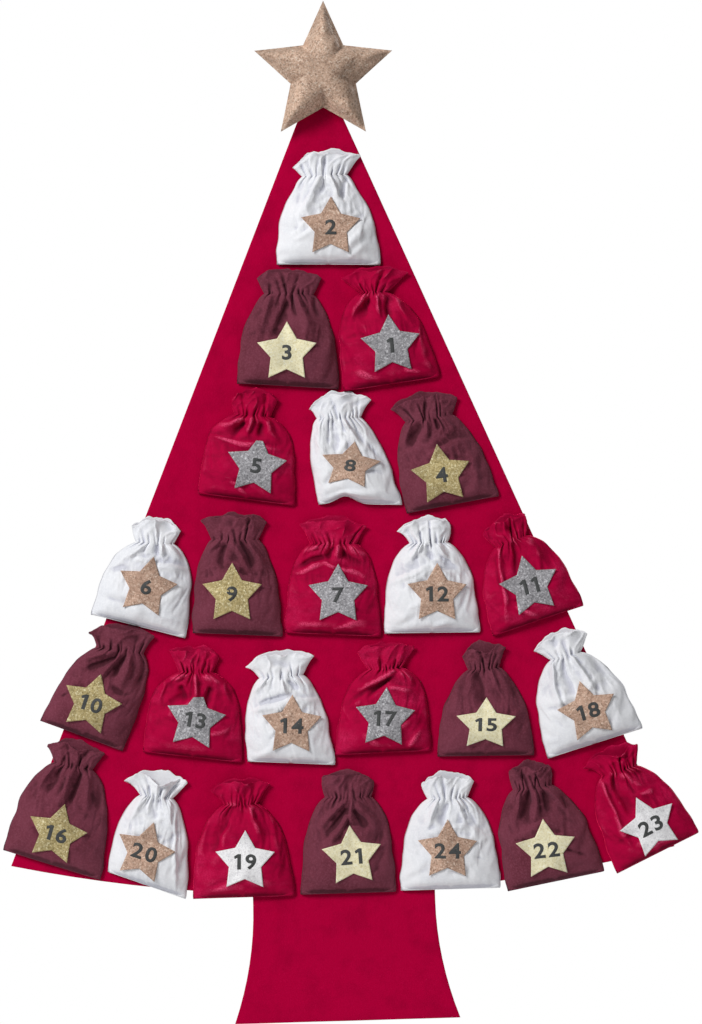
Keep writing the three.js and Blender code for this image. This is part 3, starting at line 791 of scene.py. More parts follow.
# What sets a bag apart: neck and hem are its own widths, shoulder how soon the body widens, mouth how far the
# front lip opens, ears how much lower the hem's left and right corners hang, flare how far they stand out, kink how
# far the bottom seam is pushed up, patchTall how much of the patch's height shows, tipCut where its tip ends, and
# drape the long folds on the front. A fold runs from one place to another, across from -1 to 1 and down from 0 to 1
# of the drop, with its height (negative for a hollow) and its width.
bagTouches = {
    2: {"ears": (9, 1), "shoulder": 0.4, "drape": [
        (-0.06, 0.0, -0.56, 0.46, 4.8, 6.5), (0.08, 0.02, 0.34, 0.34, 4.6, 4.5), (-0.42, 0.05, -0.66, 0.34, -3.8, 5.0),
        (0.42, 0.05, 0.34, 0.3, -3.8, 4.5), (0.3, 0.8, 0.95, 0.52, 3.6, 6.5), (0.35, 0.56, 0.9, 0.4, -3.0, 5.5),
        (-0.95, 0.55, -0.3, 0.62, -1.6, 5.0)]},
    3: {"shoulder": 0.47, "drape": [
        (-0.35, 0.02, -0.66, 0.52, 4.6, 8.0), (-0.02, 0.08, -0.26, 0.5, -6.4, 7.5), (0.2, 0.03, 0.46, 0.44, 4.8, 6.5),
        (0.08, 0.0, 0.16, 0.24, -4.0, 2.6), (0.5, 0.02, 0.56, 0.24, -4.6, 4.5), (0.9, 0.5, 0.62, 0.98, 2.6, 6.0)]},
    1: {"shoulder": 0.6, "ears": (5, 0), "drape": [
        (-0.15, 0.03, -0.72, 0.34, 5.0, 5.5), (-0.12, 0.08, -0.35, 0.3, -4.2, 5.0), (0.05, 0.03, 0.0, 0.28, 4.0, 4.0),
        (0.22, 0.04, 0.2, 0.32, -5.0, 4.5), (0.38, 0.04, 0.66, 0.36, 4.6, 6.0), (0.8, 0.4, 0.86, 0.95, 3.0, 4.5)]},
    4: {"shoulder": 0.5, "flare": (0.1, -0.05), "drape": [
        (-0.4, 0.02, -0.75, 0.3, 4.4, 5.0), (-0.22, 0.03, -0.5, 0.3, -4.8, 5.5), (-0.1, 0.02, -0.2, 0.22, 4.0, 3.6),
        (0.1, 0.02, 0.1, 0.16, -4.0, 3.4), (0.28, 0.02, 0.5, 0.2, 3.6, 4.5), (-0.2, 0.4, 0.95, 0.28, 3.6, 5.0),
        (0.9, 0.32, 0.55, 0.9, 2.6, 6.0), (-0.9, 0.36, -0.3, 0.3, 3.0, 5.0)]},
    5: {"hem": 48, "shoulder": 0.68, "flare": (-0.1, 0.02), "tipCut": 25.0, "drape": [
        (-0.95, 0.28, 0.8, 0.38, 3.6, 3.6), (-0.2, 0.06, -0.8, 0.18, 4.4, 5.0), (-0.14, 0.1, -0.34, 0.26, -4.8, 4.5),
        (0.0, 0.02, -0.05, 0.26, 3.8, 3.5), (0.16, 0.08, 0.2, 0.26, -4.6, 4.5), (0.3, 0.03, 0.52, 0.28, 3.8, 5.0)]},
    6: {"neck": 38, "shoulder": 0.6, "drape": [
        (-0.2, 0.04, -0.5, 0.2, 3.8, 5.0), (0.06, 0.02, 0.1, 0.16, -3.8, 3.5), (0.2, 0.02, 0.24, 0.18, 3.6, 3.4),
        (0.36, 0.02, 0.6, 0.18, 3.4, 5.0), (-0.3, 0.2, 0.2, 0.27, 3.4, 4.5), (0.2, 0.25, 0.97, 0.3, 4.0, 4.5),
        (-0.85, 0.36, -0.35, 0.3, -2.4, 5.0)]},
    7: {"shoulder": 0.62, "flare": (0.1, 0.05), "drape": [
        (-0.95, 0.36, -0.15, 0.21, 3.8, 3.6), (-0.15, 0.21, 0.8, 0.36, 3.8, 3.6), (-0.7, 0.24, -0.1, 0.13, -4.2, 4.5),
        (-0.3, 0.02, -0.65, 0.14, 4.4, 4.5), (0.0, 0.04, -0.1, 0.17, -4.4, 4.0), (0.1, 0.0, 0.1, 0.16, 4.0, 3.6),
        (0.2, 0.08, 0.6, 0.24, -3.8, 5.0), (0.35, 0.02, 0.75, 0.15, 4.0, 5.0)]},
    8: {"shoulder": 0.5, "ears": (8, 2), "patchTall": 0.78, "kink": 8.0, "drape": [
        (-0.1, 0.02, -0.3, 0.44, -4.6, 6.0), (0.12, 0.02, 0.4, 0.36, 4.6, 5.5), (-0.5, 0.04, -0.72, 0.5, 4.2, 6.0),
        (-0.9, 0.97, 0.6, 0.86, 4.4, 5.5), (0.6, 0.3, 0.9, 0.66, -2.6, 5.0)]},
    9: {"neck": 47, "hem": 62, "shoulder": 0.52, "flare": (0.1, 0.02), "drape": [
        (-0.3, 0.02, -0.75, 0.16, 4.4, 5.0), (-0.22, 0.06, -0.34, 0.3, -4.8, 4.5), (-0.1, 0.03, 0.38, 0.36, 5.0, 5.0),
        (0.1, 0.03, 0.42, 0.27, -4.4, 5.0), (0.32, 0.03, 0.72, 0.3, 4.2, 5.5), (-0.85, 0.42, 0.0, 0.37, 3.2, 5.0),
        (0.0, 0.37, 0.66, 0.43, 2.8, 5.0)]},
    10: {"neck": 47, "hem": 58, "shoulder": 0.62, "drape": [
        (-0.1, 0.04, -0.72, 0.16, 4.6, 5.0), (0.0, 0.08, -0.55, 0.3, -5.2, 5.5), (0.05, 0.06, -0.22, 0.38, 4.8, 5.0),
        (0.2, 0.05, 0.16, 0.3, -4.8, 4.5), (0.34, 0.03, 0.4, 0.36, 4.6, 5.0), (0.6, 0.04, 0.75, 0.36, -3.6, 5.0),
        (-0.9, 0.5, -0.2, 0.57, 2.6, 5.0), (0.35, 0.5, 0.95, 0.43, 2.6, 5.0)]},
    11: {"neck": 33, "hem": 52, "drape": [
        (-0.3, 0.0, -0.62, 0.85, 5.4, 4.0), (0.0, 0.04, -0.1, 0.4, -4.8, 5.5), (0.34, 0.03, 0.5, 0.36, 4.4, 5.5),
        (0.62, 0.06, 0.8, 0.4, -3.8, 5.0)]},
    12: {"neck": 38, "hem": 54, "ears": (8, 0), "shoulder": 0.6, "flare": (0.16, -0.2), "drape": [
        (-0.15, 0.02, -0.5, 0.2, 3.8, 5.0), (0.0, 0.02, 0.02, 0.2, -4.0, 4.0), (0.2, 0.0, 0.34, 0.2, 4.0, 4.0),
        (0.45, 0.03, 0.85, 0.2, 3.4, 6.0), (-0.92, 0.44, 0.04, 0.25, 4.0, 4.6), (0.04, 0.24, 0.5, 0.4, 3.6, 4.5),
        (0.26, 0.15, 0.6, 0.3, -3.4, 5.0)]},
    13: {"neck": 34, "hem": 48, "shoulder": 0.66, "tipCut": 22.5, "drape": [
        (-0.2, 0.02, -0.6, 0.12, 4.4, 5.0), (-0.6, 0.12, -0.74, 0.4, 4.6, 5.0), (0.2, 0.02, 0.62, 0.12, 4.4, 5.0),
        (0.62, 0.12, 0.76, 0.42, 4.8, 5.0), (-0.3, 0.16, -0.2, 0.36, -4.4, 6.0), (0.34, 0.16, 0.2, 0.38, -4.8, 6.0),
        (0.0, 0.02, 0.02, 0.36, 4.0, 4.0)]},
    14: {"neck": 44, "ears": (7, 1), "shoulder": 0.54, "drape": [
        (-0.3, 0.02, -0.85, 0.2, 4.2, 5.5), (-0.5, 0.27, 0.1, 0.2, -3.0, 3.6), (-0.75, 0.36, 0.2, 0.27, 3.8, 4.6),
        (0.2, 0.27, 0.9, 0.31, 3.6, 4.6), (0.02, 0.02, 0.0, 0.2, 4.0, 3.6), (0.14, 0.04, 0.3, 0.16, -4.0, 4.0),
        (0.3, 0.02, 0.8, 0.14, 3.6, 5.0)]},
    15: {"neck": 31, "hem": 42, "shoulder": 0.46, "mouth": 6.0, "patchTall": 0.86, "drape": [
        (-0.5, 0.02, -0.66, 0.5, 4.8, 8.0), (-0.16, 0.03, 0.02, 0.5, -6.6, 7.0), (0.4, 0.02, 0.62, 0.5, 4.8, 8.0),
        (0.16, 0.02, 0.28, 0.26, 3.4, 3.0)]},
    16: {"neck": 39, "mouth": 5.0, "drape": [
        (-0.35, 0.03, -0.6, 0.3, 4.4, 5.0), (-0.18, 0.03, -0.38, 0.34, -4.2, 4.4), (0.0, 0.03, -0.12, 0.4, 4.6, 5.0),
        (0.2, 0.06, 0.14, 0.36, -4.0, 4.0), (0.36, 0.03, 0.5, 0.4, 4.4, 5.5), (0.6, 0.1, 0.7, 0.36, -3.2, 5.0),
        (-0.3, 0.46, 0.3, 0.43, 2.4, 5.0)]},
    17: {"neck": 34, "shoulder": 0.62, "drape": [
        (0.2, 0.03, -0.8, 0.3, 4.6, 5.0), (0.1, 0.12, -0.4, 0.34, -4.2, 4.5), (0.3, 0.05, 0.6, 0.2, 4.4, 6.0),
        (0.1, 0.24, 0.66, 0.26, 4.2, 4.0), (0.5, 0.98, 0.85, 0.7, 3.4, 5.0)]},
    18: {"neck": 31, "ears": (6, 2), "drape": [
        (-0.34, 0.0, -0.46, 0.62, 4.4, 4.5), (-0.08, 0.02, -0.14, 0.5, -4.2, 5.0), (0.16, 0.0, 0.3, 0.42, 4.4, 4.5),
        (0.5, 0.05, 0.72, 0.4, -3.4, 5.0)]},
    19: {"neck": 33, "drape": [
        (-0.14, 0.02, -0.7, 0.6, -6.4, 6.5), (0.2, 0.02, 0.34, 0.36, 5.0, 5.5), (-0.6, 0.06, -0.86, 0.5, 4.2, 6.0),
        (0.6, 0.1, 0.74, 0.5, 3.6, 5.0)]},
    20: {"neck": 33, "shoulder": 0.5, "mouth": 9.0, "ears": (7, 2), "drape": [
        (-0.2, 0.02, -0.72, 0.34, 3.8, 6.0), (0.05, 0.04, 0.0, 0.26, -3.4, 6.0), (0.3, 0.02, 0.5, 0.3, 3.6, 5.5),
        (0.55, 0.15, 0.74, 0.97, 2.6, 3.0), (-0.5, 0.4, -0.1, 0.35, 2.2, 5.0)]},
    21: {"hem": 58, "shoulder": 0.54, "drape": [
        (-0.1, 0.05, -0.62, 0.3, 4.8, 4.5), (-0.05, 0.13, -0.52, 0.4, -3.4, 3.8), (0.0, 0.2, -0.45, 0.47, 3.8, 4.5),
        (0.08, 0.02, 0.06, 0.26, 4.4, 3.6), (0.2, 0.05, 0.62, 0.36, 4.6, 6.0), (0.12, 0.12, 0.32, 0.32, -3.2, 3.8),
        (0.08, 0.31, 0.55, 0.38, 3.2, 5.0), (-0.45, 0.0, -0.82, 0.25, 3.6, 5.0)]},
    22: {"neck": 39, "hem": 45, "mouth": 5.0, "drape": [
        (-0.3, 0.02, -0.55, 0.36, 4.6, 5.5), (-0.12, 0.03, -0.3, 0.34, -5.4, 5.0), (0.02, 0.02, -0.08, 0.3, 4.8, 4.5),
        (0.18, 0.05, 0.2, 0.28, -5.6, 6.0), (0.3, 0.02, 0.72, 0.4, 5.0, 6.0), (0.5, 0.12, 0.6, 0.3, -3.8, 5.0),
        (-0.45, 0.45, 0.05, 0.34, 3.4, 5.0), (0.05, 0.34, 0.5, 0.42, 2.8, 5.0)]},
    23: {"neck": 36, "hem": 52, "mouth": 6.0, "ears": (6, 0), "flare": (0.3, 0.0), "drape": [
        (-0.45, 0.0, -0.5, 0.78, 5.2, 5.5), (-0.2, 0.05, -0.2, 0.5, -5.4, 6.5), (0.05, 0.02, 0.4, 0.3, 4.4, 5.5),
        (0.3, 0.05, 0.7, 0.25, -4.0, 5.0), (0.5, 0.0, 0.85, 0.3, 3.6, 6.0), (0.2, 0.3, 0.55, 0.31, 3.0, 4.5),
        (-0.3, 0.8, 0.5, 0.9, 2.4, 5.0)]},
    24: {"neck": 40, "shoulder": 0.56, "drape": [
        (-0.2, 0.02, -0.5, 0.34, 4.2, 5.5), (0.0, 0.05, -0.12, 0.3, -4.8, 5.5), (0.18, 0.02, 0.34, 0.3, 4.0, 5.0),
        (0.42, 0.03, 0.8, 0.24, 3.6, 6.0), (-0.45, 0.36, 0.1, 0.3, 3.0, 4.6), (0.1, 0.3, 0.75, 0.4, 3.2, 4.8),
        (0.3, 0.12, 0.4, 0.26, -3.6, 5.0)]},
}
crumple = {"white": 1.0, "burgundy": 0.85, "red": 0.3}  # how much each cloth creases

reliefLook = {
    "warp": 3.2, "warpScale": 22,                        # how far the long folds wander, and over what length
    "foldGain": 1.3,
    "neckBulge": 1.3, "bulgeLength": 9,                  # the cloth swells just above and below the gathers
    "ruffleDent": 2.8, "ruffleCrease": 1.9,
    "broad": 1.2, "crisp": 1.3, "small": 0.5,            # three sizes of wrinkle on the body
    "calm": 0.5, "calmFrom": 35, "calmBy": 65,           # wrinkles are calmer lower down
    "pucker": 0.5,                                       # tucks along the bottom seam
    "wobble": 1.7,                                       # unevenness of the sides
    "rim": 1.3, "rimOpens": 3.0, "rimAtNeck": 1.4,       # half the thickness at the sides
    "mouthWave": 3.0, "hemWave": 3.4, "hemRipple": 1.5,
}


def bagOf(row):
    bag = dict(zip(rowNames, row))
    bag.update({"mouth": 1.0, "shoulder": 0.54, "patchTall": 1.0, "tipCut": 0.0, "kink": 0.0})
    rng = random.Random(100 + bag["day"])
    bag["ears"] = (rng.uniform(-1, 5), rng.uniform(-1, 5))
    bag.update(bagTouches[bag["day"]])
    bag["folds"] = gatherFolds(rng, 45 / bag["neck"])
    bag["drape"] = bag["drape"] + crumpleFolds(rng)
    bag["ridges"] = [placedFold(bag, fold, rng.random() < 0.75) for fold in bag["drape"]]
    bag.setdefault("flare", (rng.uniform(-0.12, 0.16), rng.uniform(-0.12, 0.16)))
    bag["wave"] = (rng.uniform(1.0, 1.7), rng.uniform(0, 6.28), rng.uniform(0, 6.28))
    bag["lipAt"] = rng.uniform(-0.2, 0.25)
    bag["noiseAt"] = Vector((rng.uniform(-90, 90), rng.uniform(-90, 90), 0))
    rise = bagLook["hemRise"]
    # the cut that the bag is sewn from: two layers wide, and as long as this bag's own ruffle and drop
    bag["flat"] = (2 * (bag["width"] + bagLook["flatWider"]), rise + bag["drop"] + bagLook["flatLonger"])
    shoulder = bag["shoulder"]  # how much of its widening the body has at a fifth of the drop
    chest = shoulder + 0.58 * (0.97 - shoulder)
    waist = chest + 0.5 * (0.98 - chest)
    widening = [(0, 0), (0.03, 0.26 * shoulder), (0.08, 0.54 * shoulder), (0.2, shoulder), (0.4, chest),
                (0.6, waist), (0.8, 0.97), (0.93, 0.99), (1, 0.99)]
    wider = bag["width"] - bag["neck"]
    bag["halfCurve"] = [(rise + bag["drop"] * at, (bag["neck"] + wider * share) / 2) for at, share in widening]
    deepHem = bagLook["hemDepth"]
    bag["depthCurve"] = [(0, deepHem), (rise * 0.5, deepHem), (rise, bagLook["neckDepth"])]
    bag["depthCurve"] += [(rise + bag["drop"] * at, deep) for at, deep in bodyDepths]
    return bag


def gatherFolds(rng, finer):
    # narrow valleys through the neck, of uneven length up the ruffle and down the body
    folds = []
    count = rng.randint(7, 10)
    for i in range(count):
        place = -0.9 + 1.8 * (i + 0.5 + rng.uniform(-0.45, 0.45)) / count
        folds.append((place, rng.uniform(1.8, 5.0), rng.uniform(0.02, 0.055) * finer,
                      rng.choice((4, 6, 9, 13, 20)) * rng.uniform(0.8, 1.2),
                      rng.choice((0.14, 0.22, 0.35, 0.6, 1.2)), rng.uniform(-0.3, 0.3)))
    return folds


def crumpleFolds(rng):
    # a few slight folds lower down, across and aslant
    folds = []
    for _ in range(4):
        x, y = rng.uniform(-0.9, 0.5), rng.uniform(0.38, 0.95)
        folds.append((x, y, x + rng.uniform(0.3, 0.7), y + rng.uniform(-0.22, 0.22),
                      rng.choice((-1, 1)) * rng.uniform(1.2, 2.4), rng.uniform(3.0, 6.5)))
    return folds


def placedFold(bag, fold, steepRight):
    x0, y0, x1, y1, height, wide = fold
    half, drop = bag["width"] / 2, bag["drop"]
    if (x1 - x0) * half > abs(y1 - y0) * drop:
        steepRight = True  # a fold across is steep on its upper side
    start = Vector((x0 * half, y0 * drop))
    run = Vector((x1 * half, y1 * drop)) - start
    return start, run / run.length, run.length, height, wide, steepRight


def foldHeight(bag, u, down):
    # how far the long folds lift a place on the front, u to the right of the middle
    scale = reliefLook["warpScale"]
    warp = noise.noise_vector(bag["noiseAt"] + Vector((u / scale, down / scale, 2.0)))
    spot = Vector((u + reliefLook["warp"] * warp.x, down + reliefLook["warp"] * warp.y))
    height = 0.0
    for start, along, length, rise, wide, steepRight in bag["ridges"]:
        away = spot - start
        share = away.dot(along) / length
        if not -0.15 < share < 1.2:
            continue
        side = along.y * away.x - along.x * away.y
        reach = wide * (0.65 + 0.6 * max(0.0, share))
        if (side > 0) == steepRight:
            reach *= bagLook["steepShare"]
        fade = smoothStep(-0.15, 0.15, share) * (1 - smoothStep(0.55, 1.2, share))
        height += reliefLook["foldGain"] * rise * fade * math.exp(-((side / reach) ** 2))
    return height


def halfWidth(bag, row, side):
    # the sides draw in sharply at the neck, and the hem's corners flare out unevenly
    up = row["up"]
    if row["below"] < 0:
        flare = bag["flare"][0 if side < 0 else 1]
        half = (bag["neck"] + (bag["hem"] - bag["neck"]) * up ** 0.75) / 2
        half *= 1 + flare * up ** 2
        return half + 0.6 * noise.noise(bag["noiseAt"] + Vector((side * 3.0, up * 3, 9.0))) * up
    wobble = noise.noise(bag["noiseAt"] + Vector((side * 5.0, row["below"] / 16, 3.0)))
    fade = smoothStep(0, 0.15, row["share"])
    return row["half"] + reliefLook["wobble"] * wobble * fade * (1 - smoothStep(0.85, 1.0, row["share"]))


def frontRelief(bag, across, below):
    # how far the gathers push a point of the front layer out, at a distance below the neck
    relief = 0.0
    bulge = reliefLook["neckBulge"]
    if below >= 0:
        for place, deep, wide, length, _, _ in bag["folds"]:
            fade = math.exp(-((below / length) ** 1.4))
            drift = place * (1 + 0.08 * below / length)
            relief -= deep * fade * math.exp(-(((across - drift) / (wide * (1 + below / 30))) ** 2))
        return relief + bulge * math.exp(-below / reliefLook["bulgeLength"])
    up = -below / bagLook["hemRise"]
    for place, deep, wide, _, reach, stray in bag["folds"]:
        spread = wide * (1 + 1.4 * up)
        fade = math.exp(-((up / reach) ** 2))
        relief -= deep * fade * math.exp(-(((across - place - stray * up) / spread) ** 2))
    return relief + bulge * (1 - up) + ruffleCrumple(bag, across, up)


def ruffleCrumple(bag, across, up):
    # broad dents and a few sharp creases that run aslant over the ruffle
    at = bag["noiseAt"] + Vector((across * 1.9 + 0.8 * up, up * 1.3, 17.0))
    sharp = 1 - 2.6 * abs(noise.noise(bag["noiseAt"] + Vector((across * 2.4 - 1.1 * up, up * 1.5, 19.0))))
    dent, crease = reliefLook["ruffleDent"], reliefLook["ruffleCrease"]
    return smoothStep(0.05, 0.5, up) * (dent * noise.noise(at) + crease * max(0.0, sharp) ** 2)


def softWrinkles(bag, u, v, below):
    # broad lumps and crisp small creases
    at = bag["noiseAt"] + Vector((u / 21, v / 18, 0))
    broad = reliefLook["broad"] * noise.noise(at)
    bent = noise.noise_vector(bag["noiseAt"] + Vector((u / 16, v / 16, 5.0)))
    crispAt = Vector((u / 18 + 0.5 * bent.x, v / 15 + 0.5 * bent.y, 7.0))
    crisp = 1 - 2.4 * abs(noise.noise(bag["noiseAt"] + crispAt))
    small = 1 - 2.4 * abs(noise.noise(bag["noiseAt"] + Vector((u / 8 + 0.4 * bent.y, v / 9, 11.0))))
    creases = reliefLook["crisp"] * max(0.0, crisp) ** 3 + reliefLook["small"] * max(0.0, small) ** 3
    calmer = 1 - reliefLook["calm"] * smoothStep(reliefLook["calmFrom"], reliefLook["calmBy"], below)
    return (broad + creases * crumple[bag["cloth"]]) * calmer * smoothStep(0, 18, below)


def puckers(bag, across, share):
    # small tucks along the bottom seam
    tuck = noise.noise(bag["noiseAt"] + Vector((across * 9, 0, 13.0)))
    return reliefLook["pucker"] * tuck * smoothStep(0.8, 0.95, share) * (1 - smoothStep(0.985, 1.0, share))


def foldAt(bag, row, s):
    # what the folds add once the cloth has settled
    across = 1 - 4 * s
    if s > 0.5 or row["below"] <= 0:
        return 0.0
    crown = max(0.0, 1 - across * across)
    x = across * halfWidth(bag, row, across)
    fold = foldHeight(bag, x, row["below"])
    fold += softWrinkles(bag, x, row["v"], row["below"])
    fold *= crown ** 0.45 * (1 - smoothStep(0.86, 1.0, row["share"])) * smoothStep(0, 3, row["below"])
    return fold + puckers(bag, across, row["share"]) * crown ** 0.3


def seamLift(across):
    # the bottom seam stands off the wall in the middle and less so at its corners
    corner = bagLook["seamCorner"]
    return corner + (bagLook["bottomLift"] - corner) * max(0.0, 1 - across * across) ** 0.4


def wrapRow(bag, v):
    rise = bagLook["hemRise"]
    below = v - rise
    share = max(0.0, below / bag["drop"])
    return {
        "v": v, "below": below, "share": share,
        "half": curveAt(bag["halfCurve"], v),
        "depth": curveAt(bag["depthCurve"], v),
        "shift": bag["sway"] * share,
        "tilt": math.radians(bag["turn"]) * share,
        "up": max(0.0, -below / rise),
    }


def clothPoint(bag, row, s):
    # u to the right, v below the hem, d forwards, for a place s round the bag: 0 to 0.5 is the front
    front = s < 0.5
    across = max(-1.0, min(1.0, 1 - 4 * s if front else -3 + 4 * s))
    x = across * halfWidth(bag, row, across)
    crown = max(0.0, 1 - across * across)
    up = row["up"]
    rim = reliefLook["rim"] + reliefLook["rimOpens"] * up
    rim += reliefLook["rimAtNeck"] * math.exp(-((row["below"] / 7) ** 2))
    waves, phase, backPhase = bag["wave"]
    if front:
        body = crown ** (0.5 + 0.15 * (1 - smoothStep(0, 0.15, row["share"])))
        d = rim + (row["depth"] - rim) * body
        d += frontRelief(bag, across, row["below"]) * crown ** 0.35
        lip = math.exp(-(((across - bag["lipAt"]) / 0.42) ** 2))
        wave = reliefLook["mouthWave"] * math.sin(waves * 3.4 * across + phase)
        d += up * crown * (wave + bag["mouth"] * 0.5 * lip * up)
        d = max(d, 0.9 + 1.8 * crown)
        lowered = bagLook["hemDip"] * crown * up ** 2 + bag["mouth"] * 1.3 * lip * up ** 2 * crown
    else:
        ripple = 1.2 + 1.1 * math.sin(waves * 3.0 * across + backPhase)
        d = 0.15 + (rim - 0.15) * (1 - crown) ** 1.5 + up * crown * ripple
        d += (seamLift(across) - 0.3) * smoothStep(0.8, 1.0, row["share"])
        lowered = 0.0
    if bag["kink"]:
        lowered -= bag["kink"] * row["share"] ** 6 * math.exp(-(((across + 0.35) / 0.3) ** 2))
    ear = bag["ears"][0 if across < 0 else 1]
    lowered += (bagLook["hemArc"] + ear) * abs(across) ** 2.4 * up ** 1.5
    broadAt = bag["noiseAt"] + Vector((across * 2.4, 2.0 if front else 2.4, 1.0))
    fineAt = bag["noiseAt"] + Vector((across * 6.5, 4.0 if front else 4.8, 1.0))
    lowered += up ** 1.5 * reliefLook["hemWave"] * noise.noise(broadAt)
    lowered += up ** 2 * reliefLook["hemRipple"] * noise.noise(fineAt)
    u = row["shift"] + x * math.cos(row["tilt"])
    v = row["v"] - x * math.sin(row["tilt"]) + lowered
    return u, v, d


def hang(bag, u, v, d):
    lean = math.radians(bag["lean"])
    rise = bagLook["hemRise"]
    hingeX = bag["x"] - rise * math.sin(lean)
    hingeZ = bag["z"] + rise * math.cos(lean) - feltCut["wallHeight"]
    return Vector((
        hingeX + u * math.cos(lean) + v * math.sin(lean),
        -(bagLook["back"] + d),
        hingeZ + u * math.sin(lean) - v * math.cos(lean),
    )) * mm


def rowHeights(bag):
    rows = []
    rise = bagLook["hemRise"]
    for i in range(bagLook["ruffleRows"]):
        rows.append(rise * i / bagLook["ruffleRows"])
    for i in range(bagLook["bodyRows"] + 1):
        share = i / bagLook["bodyRows"]
        rows.append(rise + bag["drop"] * (share * 0.75 + share * share * 0.25))
    return rows


ridgeRounds = 26  # how broad the cloth is that a ridge is measured against
settleLook = {"scale": 10.0, "gravity": 0.3, "frames": 10, "cap": 6.0}  # cap is the furthest that a point may move
bagCloth = {
    "quality": 5, "mass": 0.15, "tension_stiffness": 20, "compression_stiffness": 20, "shear_stiffness": 6,
    "bending_stiffness": 0.25, "vertex_group_mass": "hold", "pin_stiffness": 1.0,
    "vertex_group_shrink": "loose", "shrink_min": 0.0, "shrink_max": -0.07,
    "use_pressure": True, "uniform_pressure_force": 0.35, "vertex_group_pressure": "loose",
}


def makeBag(bag):
    heights = rowHeights(bag)
    rows = [wrapRow(bag, v) for v in heights]
    front, back = bagLook["frontColumns"], bagLook["backColumns"]
    columns = front + back
    bm = bmesh.new()
    uvLayer = bm.loops.layers.uv.new("cloth")
    bmesh.ops.create_grid(bm, x_segments=columns, y_segments=len(rows) - 1, size=0.5)
    gridPlace = {}
    for v in bm.verts:
        column = round((v.co.x + 0.5) * columns)
        level = round((0.5 - v.co.y) * (len(rows) - 1))
        s = 0.5 * column / front if column <= front else 0.5 + 0.5 * (column - front) / back
        gridPlace[v.index] = (s, level)
    for face in bm.faces:
        for loop in face.loops:
            s, level = gridPlace[loop.vert.index]
            loop[uvLayer].uv = (s * bag["flat"][0] * mm, level / (len(rows) - 1) * bag["flat"][1] * mm)
    last = len(rows) - 1
    hold = bm.verts.layers.float.new("hold")
    fold = bm.verts.layers.float.new("fold")
    for v in bm.verts:
        s, level = gridPlace[v.index]
        u, down, d = clothPoint(bag, rows[level], min(s, 1.0))
        if level == last:
            d = seamLift(1 - 4 * s if s <= 0.5 else 4 * s - 3)
        v.co = hang(bag, u, down, d)
        settled = smoothStep(2, 16, rows[level]["below"])
        settled *= 1 - smoothStep(0.9, 1.0, rows[level]["share"])
        v[hold] = 1.0 if s >= 0.5 or s == 0 else 1 - settled
        v[fold] = foldAt(bag, rows[level], s)
    bmesh.ops.remove_doubles(bm, verts=bm.verts, dist=2e-5)
    faceOutwards(bm, -1)
    obj = makeObject("bag%02d" % bag["day"], bm, materials[bag["cloth"]])
    lifted = [value.value for value in obj.data.attributes["fold"].data]
    settle(obj)
    for v, lift in zip(obj.data.vertices, lifted):
        room = -v.co.y / mm - bagLook["back"]
        if room > 1.0:
            deepest = bagLook["hollowShare"] * room
            if lift < 0:
                lift = -deepest * math.tanh(-lift / deepest)
            v.co.y -= lift * mm
    return obj


def markRidges(obj):
    # how far each point stands out from the cloth around it, in mm, for painted shade in the valleys and a painted
    # highlight on the velvet's ridges
    mesh = obj.data
    height = np.array([-v.co.y / mm for v in mesh.vertices])
    ends = np.array([e.vertices[:] for e in mesh.edges])
    count = np.bincount(ends.ravel(), minlength=len(height))
    level = height.copy()
    for _ in range(ridgeRounds):
        total = np.bincount(ends[:, 0], level[ends[:, 1]], len(height))
        total += np.bincount(ends[:, 1], level[ends[:, 0]], len(height))
        level = total / count
    layer = mesh.attributes.new("ridge", "FLOAT", "POINT")
    layer.data.foreach_set("value", np.clip(height - level, -3, 3))


def settle(obj):
    # the cloth below the neck is a little too big for its room, so it buckles into folds of its own
    held = [value.value for value in obj.data.attributes["hold"].data]
    start = [v.co.copy() for v in obj.data.vertices]
    obj.data.transform(Matrix.Scale(settleLook["scale"], 4))
    pins = obj.vertex_groups.new(name="hold")
    loose = obj.vertex_groups.new(name="loose")
    for i, weight in enumerate(held):
        pins.add([i], weight, "REPLACE")
        loose.add([i], 1 - weight, "REPLACE")
    runCloth(obj, bagCloth, settleLook["gravity"], settleLook["frames"])
    obj.data.transform(Matrix.Scale(1 / settleLook["scale"], 4))
    cap = settleLook["cap"] * mm
    for v, before in zip(obj.data.vertices, start):
        moved = v.co - before
        if moved.length > cap:
            v.co = before + moved * (cap / moved.length)
        v.co.y = min(v.co.y, -(bagLook["back"] + 0.1) * mm)


floorLook = {"height": -1450.0, "size": 4000.0}


def makeFloor():
    bm = bmesh.new()
    bmesh.ops.create_grid(bm, x_segments=4, y_segments=4, size=floorLook["size"] * mm / 2)
    for v in bm.verts:
        v.co.z = floorLook["height"] * mm
    obj = makeObject("floor", bm, materials["floor"])


makeFloor()
tree = makeTree()
print("felt tree cut:", len(tree.data.polygons), "faces")
loop = makeLoop()
print("hanging loop laid")
makeStar()
print("padded star sewn")

# Star patches and their numbers

patchLook = {
    "tip": 31.0, "inner": 16.8, "rise": 36.0, "cuts": 9, "thick": 0.6, "gap": 0.15,
    "pressed": 1.6,        # the cloth is pressed down this far past a patch's edge
    "pressGap": 0.12, "evenRounds": 30,
    "numberHeight": 15.0, "numberWide": 1.15, "numberThick": 0.1, "numberLift": 0.14, "bold": 0.026, "digitGap": 3.0,
    "numberCell": 1.5, "afterOne": 1.5,  # the gap after a 1 is wider by afterOne
}
patchFinish = {"white": ("roseGold", "rose_gold_glitter"), "burgundy": ("gold", "gold_glitter"),
               "red": ("silver", "silver_glitter")}
# these patches take a lighter copy of their glitter as a painted highlight; their slot stays the same
highlitPatches = {
    3: "highlitGold", 15: "highlitGold", 21: "highlitGold", 22: "highlitGold", 19: "highlitSilver", 23: "highlitSilver",
}
bagSlots = {"white": "white_cotton", "burgundy": "burgundy_cotton", "red": "red_velvet"}


